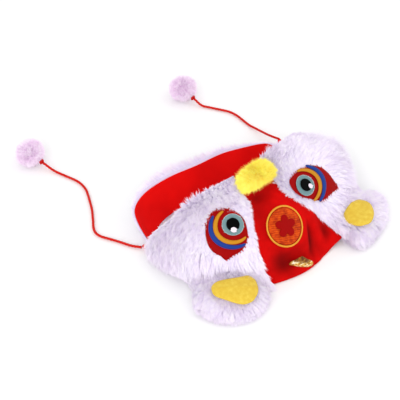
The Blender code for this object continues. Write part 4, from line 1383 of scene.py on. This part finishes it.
def make_medallion():
    """An orange satin disc in a ring wound with gold thread, and a dark red blossom stitched on it."""
    spot = Spot(MEDALLION_ACROSS, MEDALLION_DOWN)
    base = VELVET + GAP
    disc = plate(
        "medallion_disc", spot, circle(DISC_RADIUS, 64), (0, 0), base, base + DISC_THICK, ORANGE,
    )
    dress(disc, "medallion_disc")

    around, across = 48, 8
    middle_radius, half = (RING_INNER + RING_OUTER) / 2, (RING_OUTER - RING_INNER) / 2
    points, faces = [], []
    for k, angle in enumerate(full_turn(around)):
        for j, turn in enumerate(full_turn(across)):
            reach = middle_radius + half * 0.8 * math.cos(turn)
            out = base + RING_THICK / 2 + RING_THICK * 0.42 * math.sin(turn)
            points.append(spot.point(reach * math.cos(angle), reach * math.sin(angle), out))
            here, ahead = k * across, (k + 1) % around * across
            up = (j + 1) % across
            faces.append([here + j, ahead + j, ahead + up, here + up])
    ground = make_piece("ground", points, faces, None)
    turn_out(ground)
    rows = arc_stitches(
        spot, (0, 0), 1.0, middle_radius, 2 * half, 0, 359, 0.62, base + RING_THICK * 0.55,
    )
    rows = [row._replace(long=2 * half) for row in rows]
    embroider("medallion_ring", rows, ground, 0.66, 0.6, THREADS["bright_gold"])

    on_disc = base + DISC_THICK + GAP
    blossom = []
    for turn in full_turn(80):
        blossom.append((petal_reach(turn) * math.cos(turn), petal_reach(turn) * math.sin(turn)))
    ground = plate("ground", spot, blossom, (0, 0), on_disc, on_disc + BLOSSOM_THICK * 0.6, None)
    heart, heart_end, petal_start = 2.4, 5.2, 5.0
    rows = []
    for k, turn in enumerate(full_turn(120)):
        for start, end in ((heart, heart_end), (petal_start, petal_reach(turn))):
            if end - start < 0.6 or (start == heart and k % 2):
                continue
            at = (start + end) / 2
            middle, right, down, outward = spot.frame(
                at * math.cos(turn), at * math.sin(turn), on_disc + BLOSSOM_THICK * 0.45,
            )
            way = right * math.cos(turn) + down * math.sin(turn)
            rows.append(Stitch(middle, way, outward, end - start))
    embroider(
        "medallion_blossom", rows, ground, 0.5, 0.4, THREADS["dark_red"],
    )


def squared(turn, power):
    """A point of a rounded rectangle one unit in half size."""
    along, over = math.cos(turn), math.sin(turn)
    return math.copysign(abs(along) ** power, along), math.copysign(abs(over) ** power, over)


def make_tuft():
    """A yellow tuft over the top of the nose panel: short pile that falls outwards from its crown."""
    low = PRESSED + GAP
    core_edge, core_height = 0.8, TUFT_HEIGHT - 6.0
    sides = 48
    outline = []
    for turn in full_turn(sides):
        a, b = squared(turn, 0.45 if math.sin(turn) > 0 else 0.8)
        outline.append((a * (TUFT_HALF - 3.0), b * (TUFT_LOW - 5.5 if b > 0 else TUFT_UP - 2.5)))
    rings = []
    for share, under in (
        (0.5, True), (0.98, True), (1.0, False), (0.9, False), (0.75, False), (0.55, False),
        (0.35, False), (0.15, False),
    ):
        rise = 0.0 if under else core_edge + core_height * math.sqrt(1 - share * share)
        rings.append([TUFT_SPOT.point(a * share, b * share, low + rise) for a, b in outline])
    middle = TUFT_SPOT.point(0, 0, low)
    points, faces = loft(rings, middle, TUFT_SPOT.point(0, 0, low + core_height + core_edge))
    _, normal, downward = facing(TUFT_ACROSS, TUFT_DOWN)
    combed = downward * 0.3 - normal.cross(downward) * 0.25
    values = {key: [] for key in PILE_VALUES}
    for row, point in enumerate(points):
        away = point - middle
        flat = away - normal * away.dot(normal)
        values["way"].append(flat / 40.0 + combed)
        values["out"].append((flat / 14 + normal).normalized())
        values["lift"].append(0.8)
        values["free"].append(1.0)
        values["thick"].append(0.0 if row < 1 + sides else 1.0)
    made = make_piece("tuft", points, faces, None, values=values)
    grow_pile(
        made, 15000, SHORT_STRAND, YELLOW,
        lock_size=2.8, lock_pull=130.0, disorder=0.3, swirl=1.1, seed=4,
    )
    dress(made, "tuft")


def make_horn():
    """A squat horn on the front edge: lame gathered up to a ridge over a pleated ruffle."""
    spot = Spot(HORN_ACROSS, HORN_DOWN)
    turn = math.radians(HORN_TURN)
    low = VELVET + 2 * GAP
    up = Vector((0.0, -0.25, 0.97)).normalized()
    per_pleat = 8
    base = []
    for angle in full_turn(per_pleat * HORN_PLEATS):
        # The ruffle stands on a narrower foot than its own length and width.
        a, b = math.cos(angle) * HORN_LENGTH / 2 * 0.94, math.sin(angle) * HORN_WIDTH / 2 * 0.42
        base.append(spot.point(
            a * math.cos(turn) - b * math.sin(turn), a * math.sin(turn) + b * math.cos(turn), low,
        ))
    centre = spot.point(0, 0, low)
    ridge = spot.point(0, -2.6, low)
    rings = [[centre + (point - centre) * 0.5 for point in base], base]
    ruffle = [0.0] + [1.0] * 2 * len(base)
    for row in HORN_ROWS:
        ring = []
        for k, point in enumerate(base):
            pleat = abs(math.sin(math.pi * k / per_pleat))
            foot = centre.lerp(ridge, 1 - row.share)
            reach = row.share * (1 - row.pleat * (1 - pleat))
            rise = row.rise + 3.2 * row.pleat * (pleat - 0.5)
            ring.append(foot + (point - centre) * reach + up * rise)
            ruffle.append(row.bright)
        rings.append(ring)
    points, faces = loft(rings, centre, ridge + up * (HORN_HEIGHT + 2.3))
    made = make_piece(
        "horn", points, faces, gold_lame(), smooth=False, values={"ruffle": ruffle + [0.0]},
    )
    turn_out(made)
    dress(made, "horn")


def inside_outline(along, aside, outline):
    """Whether a point lies in a closed outline."""
    found = False
    for one, other in zip(outline, outline[1:] + outline[:1]):
        if (one.aside > aside) != (other.aside > aside):
            share = (aside - one.aside) / (other.aside - one.aside)
            if along < one.along + share * (other.along - one.along):
                found = not found
    return found


def ear_backing(ear, shape):
    """Rings from the ear's root on the cheek to its tip, and each point's along, aside and turn."""
    turns = full_turn(48)
    middle = (EAR_ROOT_TOP + EAR_ROOT_LOW) / 2
    half = (EAR_ROOT_LOW - EAR_ROOT_TOP) / 2
    rings, places = [], []
    for share in (0.5, 1.0):
        ring = []
        for turn in turns:
            aside = EAR_ROOT_HALF * share * math.cos(turn)
            down = middle - half * share * math.sin(turn)
            ring.append(place(ear.across + aside, down, PRESSED + GAP))
            places.append((0.0, aside, turn))
        rings.append(ring)
    last = shape.rows[-1]
    end = last.along - EAR_PILE_REACH
    free_row = shape.row_at(EAR_FREE * last.along / end)
    ring = []
    for point, turn in zip(rings[-1], turns):
        free = shape.section(EAR_FREE, turn, free_row, EAR_PILE_REACH)
        ring.append(point.lerp(free, EAR_ROOT_TURN))
        places.append((1.5, EAR_ROOT_HALF * math.cos(turn), turn))
    rings.append(ring)
    lines = 16
    for line in range(lines):
        along = EAR_FREE + (end - EAR_FREE) * line / (lines - 1)
        row = shape.row_at(along * last.along / end)
        ring = []
        for turn in turns:
            ring.append(shape.section(along, turn, row, EAR_PILE_REACH))
            places.append((along, row.aside + row.half_width * math.cos(turn), turn))
        rings.append(ring)
    root = place(ear.across, middle, PRESSED + GAP)
    points, faces = loft(rings, root, shape.spread(end + 2, last.aside, last.top * 0.35))
    places = [(0.0, 0.0, 0.0)] + places + [(last.along, last.aside, math.pi / 2)]
    return points, faces, places


def ear_pile(ear, shape, places, normals):
    """How the ear's pile lies: out to the tip and aside, pressed under the patch, none beneath."""
    values = {key: [] for key in PILE_VALUES}
    for (along, aside, turn), normal in zip(places, normals):
        row = shape.row_at(clamp(along, 0.01, shape.rows[-1].along))
        sideways = (aside - row.aside) / row.half_width
        way = shape.axis * 0.75 + shape.aside * sideways * 0.7 + Vector((0, 0, -0.25))
        way -= normal * way.dot(normal)
        covered = inside_outline(along, aside, EAR_PATCHES[ear.side])
        near_root = max(0.0, 1 - along / 20)
        at_root = max(0.0, 1 - along / 12)
        free = 0.55 if covered else 0.85 + 0.15 * at_root
        if ear.side == "right":
            free *= 0.95 - 0.65 * max(0.0, sideways) * near_root
        else:
            free *= 0.88 + 0.15 * max(0.0, sideways) - 0.5 * max(0.0, -sideways) * near_root
        bare = math.sin(turn) < -0.3 or along < 1
        values["way"].append(way)
        values["out"].append(normal)
        values["lift"].append(0.55 if covered else 0.5 + 0.5 * at_root)
        values["free"].append(free)
        values["thick"].append(0.0 if bare else (0.6 if covered else 1.0))
    return values


def make_patch(ear, shape):
    """The felt patch on an ear, its edge drawn down into the pile by its seam."""
    outline = EAR_PATCHES[ear.side]
    count, parts = len(outline), 6
    fine = []
    for k in range(count):
        four = [outline[(k + j) % count] for j in (-1, 0, 1, 2)]
        for j in range(parts):
            fine.append([smooth_between(*numbers, j / parts) for numbers in zip(*four)])
    at = [sum(row[axis] for row in fine) / len(fine) for axis in (0, 1)]
    low = EAR_PILE + FELT_LIFT

    def ring(share, out):
        settled = out - FELT_SETTLES * max(0.0, (share - 0.75) / 0.25) ** 2
        return [
            shape.top(at[0] + (along - at[0]) * share, at[1] + (aside - at[1]) * share, settled)
            for along, aside in fine
        ]

    rings = [ring(0.5, low), ring(0.98, low)]
    rings += [ring(1.0, low + FELT_THICK * 0.5), ring(0.97, low + FELT_THICK * 0.9)]
    rings += [ring(share, low + FELT_THICK) for share in (0.85, 0.65, 0.45, 0.2)]
    points, faces = loft(rings, shape.top(*at, low), shape.top(*at, low + FELT_THICK))
    patch = make_piece("ear_patch_" + ear.side, points, faces, FELT)
    turn_out(patch)
    return patch


def make_ear(ear):
    """A plush ear that lies out from the foot of a cheek, and the felt patch on it."""
    shape = EarShape(ear)
    points, faces, places = ear_backing(ear, shape)
    made = make_piece("ear_" + ear.side, points, faces, None)
    turn_out(made)
    normals = [vertex.normal.copy() for vertex in made.data.vertices]
    store_values(made.data, ear_pile(ear, shape, places, normals))
    grow_pile(made, 32000, FACE_STRAND, WHITE, seed=6 if ear.side == "left" else 7)
    patch = make_patch(ear, shape)
    dress(made, "ear_" + ear.side)
    dress(patch, "ear_patch_" + ear.side)


def make_twisted_cord(name, route):
    """Three plies twisted into a cord: a tube along the route whose section turns as it goes."""
    step, sides = 0.8, 12
    fine = smooth_route(route, step)
    points, ply = [], []
    up = Vector((0, 0, 1))
    for k, point in enumerate(fine):
        before, after = fine[max(0, k - 1)], fine[min(len(fine) - 1, k + 1)]
        way = (after - before).normalized()
        right = way.cross(up).normalized()
        over = right.cross(way)
        for turn in full_turn(sides):
            crest = abs(math.cos(1.5 * (turn - 2 * math.pi * k * step / CORD_LAY)))
            reach = CORD_RADIUS * (0.78 + 0.24 * crest)
            at = point + (right * math.cos(turn) + over * math.sin(turn)) * reach
            at.z = max(at.z, 0.0)
            points.append(at)
            # ply is 0 in a groove and 1 on a crest; the finish draws painted shade by it.
            ply.append(crest)
    rings = [points[k:k + sides] for k in range(0, len(points), sides)]
    body, faces = loft(rings, fine[0], fine[-1])
    values = {"ply": [0.0] + ply + [0.0]}
    made = make_piece(name, body, faces, CORD, values=values)
    turn_out(made)
    return made, fine


def make_knot(name, centre, way):
    """An overhand knot, pulled small: one turn of the cord three times over itself."""
    side = way.cross(Vector((0, 0, 1))).normalized()
    over = side.cross(way)
    path = []
    for t in full_turn(72):
        reach = 1.35 + 0.6 * math.cos(3 * t)
        flat = side * reach * math.cos(2 * t) + over * reach * math.sin(2 * t)
        path.append(centre + flat + way * 0.7 * math.sin(3 * t))
    strand_radius, sides = 0.95, 8
    points, faces, ply = [], [], []
    for k, point in enumerate(path):
        ahead = (path[(k + 1) % len(path)] - path[k - 1]).normalized()
        right = ahead.cross(way).normalized()
        up = right.cross(ahead)
        for j, turn in enumerate(full_turn(sides)):
            at = point + (right * math.cos(turn) + up * math.sin(turn)) * strand_radius
            at.z = max(at.z, 0.0)
            points.append(at)
            # Painted shade: stripes of ply drawn on the smooth knot, dark where the plies' grooves
            # would be.
            ply.append(0.5 + 0.5 * math.cos(3 * turn + k))
            here, after, beside = k * sides, (k + 1) % len(path) * sides, (j + 1) % sides
            faces.append([here + j, here + beside, after + beside, after + j])
    made = make_piece(name, points, faces, CORD, values={"ply": ply})
    turn_out(made)
    return made


def make_pompom(name, centre, seed):
    """A pompom: pile that stands out all round a small core of uneven roundness."""
    lines, sides = 12, 24
    rings = []
    for line in range(1, lines):
        tilt = math.pi * (1 - line / lines)
        ring = []
        for turn in full_turn(sides):
            flat = math.sin(tilt)
            way = Vector((math.cos(turn) * flat, math.sin(turn) * flat, math.cos(tilt)))
            lobes = POMPOM_RUFFLE * math.sin(2 * turn + seed) * flat
            lobes += 0.05 * math.sin(5 * turn + 3 * tilt)
            ring.append(centre + way * POMPOM_CORE * (1 + lobes))
        rings.append(ring)
    pole = Vector((0, 0, POMPOM_CORE))
    points, faces = loft(rings, centre - pole, centre + pole)
    count = len(points)
    values = {
        "way": [Vector((0, 0, 0))] * count, "out": [(point - centre).normalized() for point in points],
        "lift": [1.0] * count, "free": [0.88] * count, "thick": [1.0] * count,
    }
    made = make_piece(name, points, faces, None, values=values)
    grow_pile(
        made, 14000, SHORT_STRAND, PINKISH,
        lock_size=4.2, lock_pull=120.0, disorder=0.45, swirl=1.1, seed=seed,
    )
    return made


def make_tab(tie, start, way):
    """The flat cloth tab that a cord comes out of, narrowing from the seam to the cord."""
    aside = way.cross(Vector((0, 0, 1))).normalized()
    over = aside.cross(way).normalized()
    root, steps = 0.5, 8
    rings = []
    for k in range(steps + 1):
        share = k / steps
        reach = root + (tie.tab - root) * share
        half_wide = TAB_ROOT_HALF + (TAB_THICK / 2 + 0.2 - TAB_ROOT_HALF) * share
        half_thick = TAB_THICK / 2 * (0.85 if k in (0, steps) else 1.0)
        ring = []
        for turn in full_turn(16):
            a, b = squared(turn, 0.5)
            ring.append(start + way * reach + aside * half_wide * a + over * half_thick * b)
        rings.append(ring)
    points, faces = loft(rings, start + way * root, start + way * tie.tab)
    made = make_piece("cord_tab_" + tie.side, points, faces, TAB_KNIT)
    turn_out(made)
    return made


def make_tie(tie):
    """A tab at the seam, a twisted cord from it along the floor, its knot and its pompom."""
    start = place(tie.across, tie.down, PRESSED + GAP)
    way = Vector((tie.way_x, -tie.way_front, tie.way_z)).normalized()
    tab = make_tab(tie, start, way)
    route = [start + way * (tie.tab + CORD_GAP)]
    route += [Vector((stop.x, -stop.front, stop.z)) for stop in TIE_ROUTES[tie.side]]
    pompom = Vector((tie.pompom_x, -tie.pompom_front, POMPOM_RADIUS))
    to_pompom = (pompom - route[-1]).normalized()
    edge = POMPOM_RADIUS * (1 + POMPOM_RUFFLE / 2)
    knot = pompom - to_pompom * (edge + KNOT_RADIUS + GAP)
    route.append(knot - to_pompom * 1.6)
    cord, fine = make_twisted_cord("cord_" + tie.side, route)
    knotted = make_knot("cord_knot_" + tie.side, knot, to_pompom)
    level = Vector((to_pompom.x, to_pompom.y, 0)).normalized()
    ball = make_pompom(
        "pompom_" + tie.side, pompom - level * POMPOM_OVER_KNOT, 8 if tie.side == "left" else 9,
    )
    for made, node in (
        (tab, "cord_tab_"), (cord, "cord_"), (knotted, "cord_knot_"), (ball, "pompom_"),
    ):
        dress(made, node + tie.side)


def make_camera():
    """The photo's view: 42 degrees to the lion's left, 45 degrees down, 0.9 m away."""
    turn, tilt = math.radians(-42), math.radians(45)
    distance, pixel, frame_pixels, sensor = 0.9, 0.00085, 400, 36
    right = Vector((math.cos(turn), math.sin(turn), 0))
    back = Vector((
        math.sin(turn) * math.cos(tilt), -math.cos(turn) * math.cos(tilt), math.sin(tilt),
    ))
    up = back.cross(right)
    # The middle of the face's rim lies 57 pixels right of the frame's middle and 22 above it.
    target = Vector((0, 0, 0.065)) - MIDDLE * MM - right * 57 * pixel - up * 22 * pixel
    camera = bpy.data.cameras.new("camera")
    camera.sensor_width = sensor
    camera.lens = sensor * distance / (frame_pixels * pixel)
    camera.clip_start, camera.clip_end = 0.05, 20
    made = bpy.data.objects.new("camera", camera)
    made.location = target + back * distance
    made.rotation_mode = "QUATERNION"
    made.rotation_quaternion = (-back).to_track_quat("-Z", "Y")
    bpy.context.scene.collection.objects.link(made)
    bpy.context.scene.camera = made


def make_studio():
    """A pale floor, an even white surround and two large soft lights."""
    half = 3.0
    corners = [(-half, -half, 0), (half, -half, 0), (half, half, 0), (-half, half, 0)]
    mesh = bpy.data.meshes.new("floor")
    mesh.from_pydata(corners, [], [[0, 1, 2, 3]])
    floor, tree, shader = finish_named("white_paper", Roughness=0.9)
    tone = ramp(tree, object_noise(tree, 400.0), [(0.3, "F8F8F8"), (0.7, "FBFBFB")])
    tree.links.new(tone, shader.inputs["Base Color"])
    mesh.materials.append(floor)
    made = bpy.data.objects.new("floor", mesh)
    made.location.z = -FLOOR_BELOW * MM
    bpy.context.scene.collection.objects.link(made)
    world = bpy.data.worlds.new("surround")
    world.use_nodes = True
    background = world.node_tree.nodes["Background"]
    background.inputs["Color"].default_value = linear("FFFFFF")
    background.inputs["Strength"].default_value = 0.95
    bpy.context.scene.world = world
    bpy.context.scene.view_settings.view_transform = "Standard"
    for name, stands_at, size, power in (
        ("key", (-1.1, -0.7, 1.05), 1.2, 9.0),
        ("fill", (0.9, -1.0, 1.0), 1.2, 2.4),
    ):
        light = bpy.data.lights.new(name, "AREA")
        light.size = size
        light.energy = power
        lamp = bpy.data.objects.new(name, light)
        lamp.location = stands_at
        lamp.rotation_mode = "QUATERNION"
        lamp.rotation_quaternion = (-Vector(stands_at)).to_track_quat("-Z", "Y")
        bpy.context.scene.collection.objects.link(lamp)


PILE_TREE = pile_tree()
THREAD_TREE = thread_tree()
ONE_STITCH = make_thread()
FACE_STRAND = make_strand("face_strand", length=11.0, width=0.5, bend=1.0)
SHORT_STRAND = make_strand("short_strand", length=7.0, width=0.36, bend=0.4)
EYE_SPOTS = [Spot(eye.across, eye.down) for eye in EYES]
TUFT_SPOT = Spot(TUFT_ACROSS, TUFT_DOWN)
SEAM_RIGHT, SEAM_LEFT = PLACES[RIGHT_SEAM], PLACES[LEFT_SEAM] - ROUND

make_camera()
WHITE = plush(
    "white_acrylic_plush",
    root="DED4EC", low="F4ECFC", tip="FFFDFF", fringe="F4E6F7", warm="F8ECFA", glow=0.05,
)
PINKISH = plush(
    "pinkish_white_acrylic_pile",
    root="E8CCEA", low="F6E4F6", tip="FFFBFF", fringe="F4E0F4", warm="FCEAFA", glow=0.08,
)
YELLOW = plush(
    "yellow_acrylic_plush",
    root="F8D448", low="FFF26E", tip="FFFFA4", fringe="FFF890", warm="FFF490", glow=0.1,
)
FELT = felt("yellow_wool_felt", "D8B038", "DEBC40", "E6CA52")
CORD = twisted_cord()
THREADS = {
    "dark_red": thread("dark_red_rayon_thread", "9A0202", "C60402", "DA0E08", gloss=0.05),
    "blue": thread("blue_rayon_thread", "1C3A8C", "2C58B4", "4A84DC"),
    "gold": thread("gold_rayon_thread", "C8861A", "EEB428", "FFDC60"),
    "bright_gold": thread(
        "bright_gold_metal_thread", "E29E2C", "FFCC58", "FFF0A8", roughness=0.35, gloss=0.2,
    ),
    "grey": thread("grey_rayon_thread", "708E92", "9AB8BA", "F2FAF8"),
    "black": thread("black_rayon_thread", "020202", "060608", "101014", gloss=0.03),
    "white": thread("white_rayon_thread", "F0E0EC", "FFF8FF", "FFFFFF"),
}
ORANGE = satin("orange_polyester_satin", "9A2202", "C83E04", "E25A0C")
TAB_KNIT = red_knit()

for tie in TIES:
    make_tie(tie)
lining = cloth_panel(
    "lining", lambda down: 0.0, lambda down: ROUND, 200, 30, LINING_IN, LINING_OUT,
    red_knit(), top=lining_top, bottom=0.98, closed=True, behind=clear_of_folds,
)
nose_panel = cloth_panel(
    "nose_panel", lambda down: nose_edge("left", down), lambda down: nose_edge("right", down),
    70, 100, 0.0, VELVET, red_velvet(), fold=creased,
)
plush_panel(
    "cheek_left",
    lambda down: SEAM_LEFT + SEAM_GAP / 2, lambda down: nose_edge("left", down) - PANEL_GAP,
    60, 48, lying, 52000,
)
plush_panel(
    "cheek_right",
    lambda down: nose_edge("right", down) + PANEL_GAP, lambda down: SEAM_RIGHT - SEAM_GAP / 2,
    64, 48, lying, 60000,
)
plush_panel(
    "band",
    lambda down: SEAM_RIGHT + SEAM_GAP / 2, lambda down: ROUND + SEAM_LEFT - SEAM_GAP / 2,
    90, 14, lying_behind, 36000, length=0.75,
)
for eye, spot in zip(EYES, EYE_SPOTS):
    make_eye(eye, spot)
make_medallion()
make_tuft()
make_horn()
for ear in EARS:
    make_ear(ear)
for template in TEMPLATES:
    bpy.data.objects.remove(template, do_unlink=True)
make_studio()
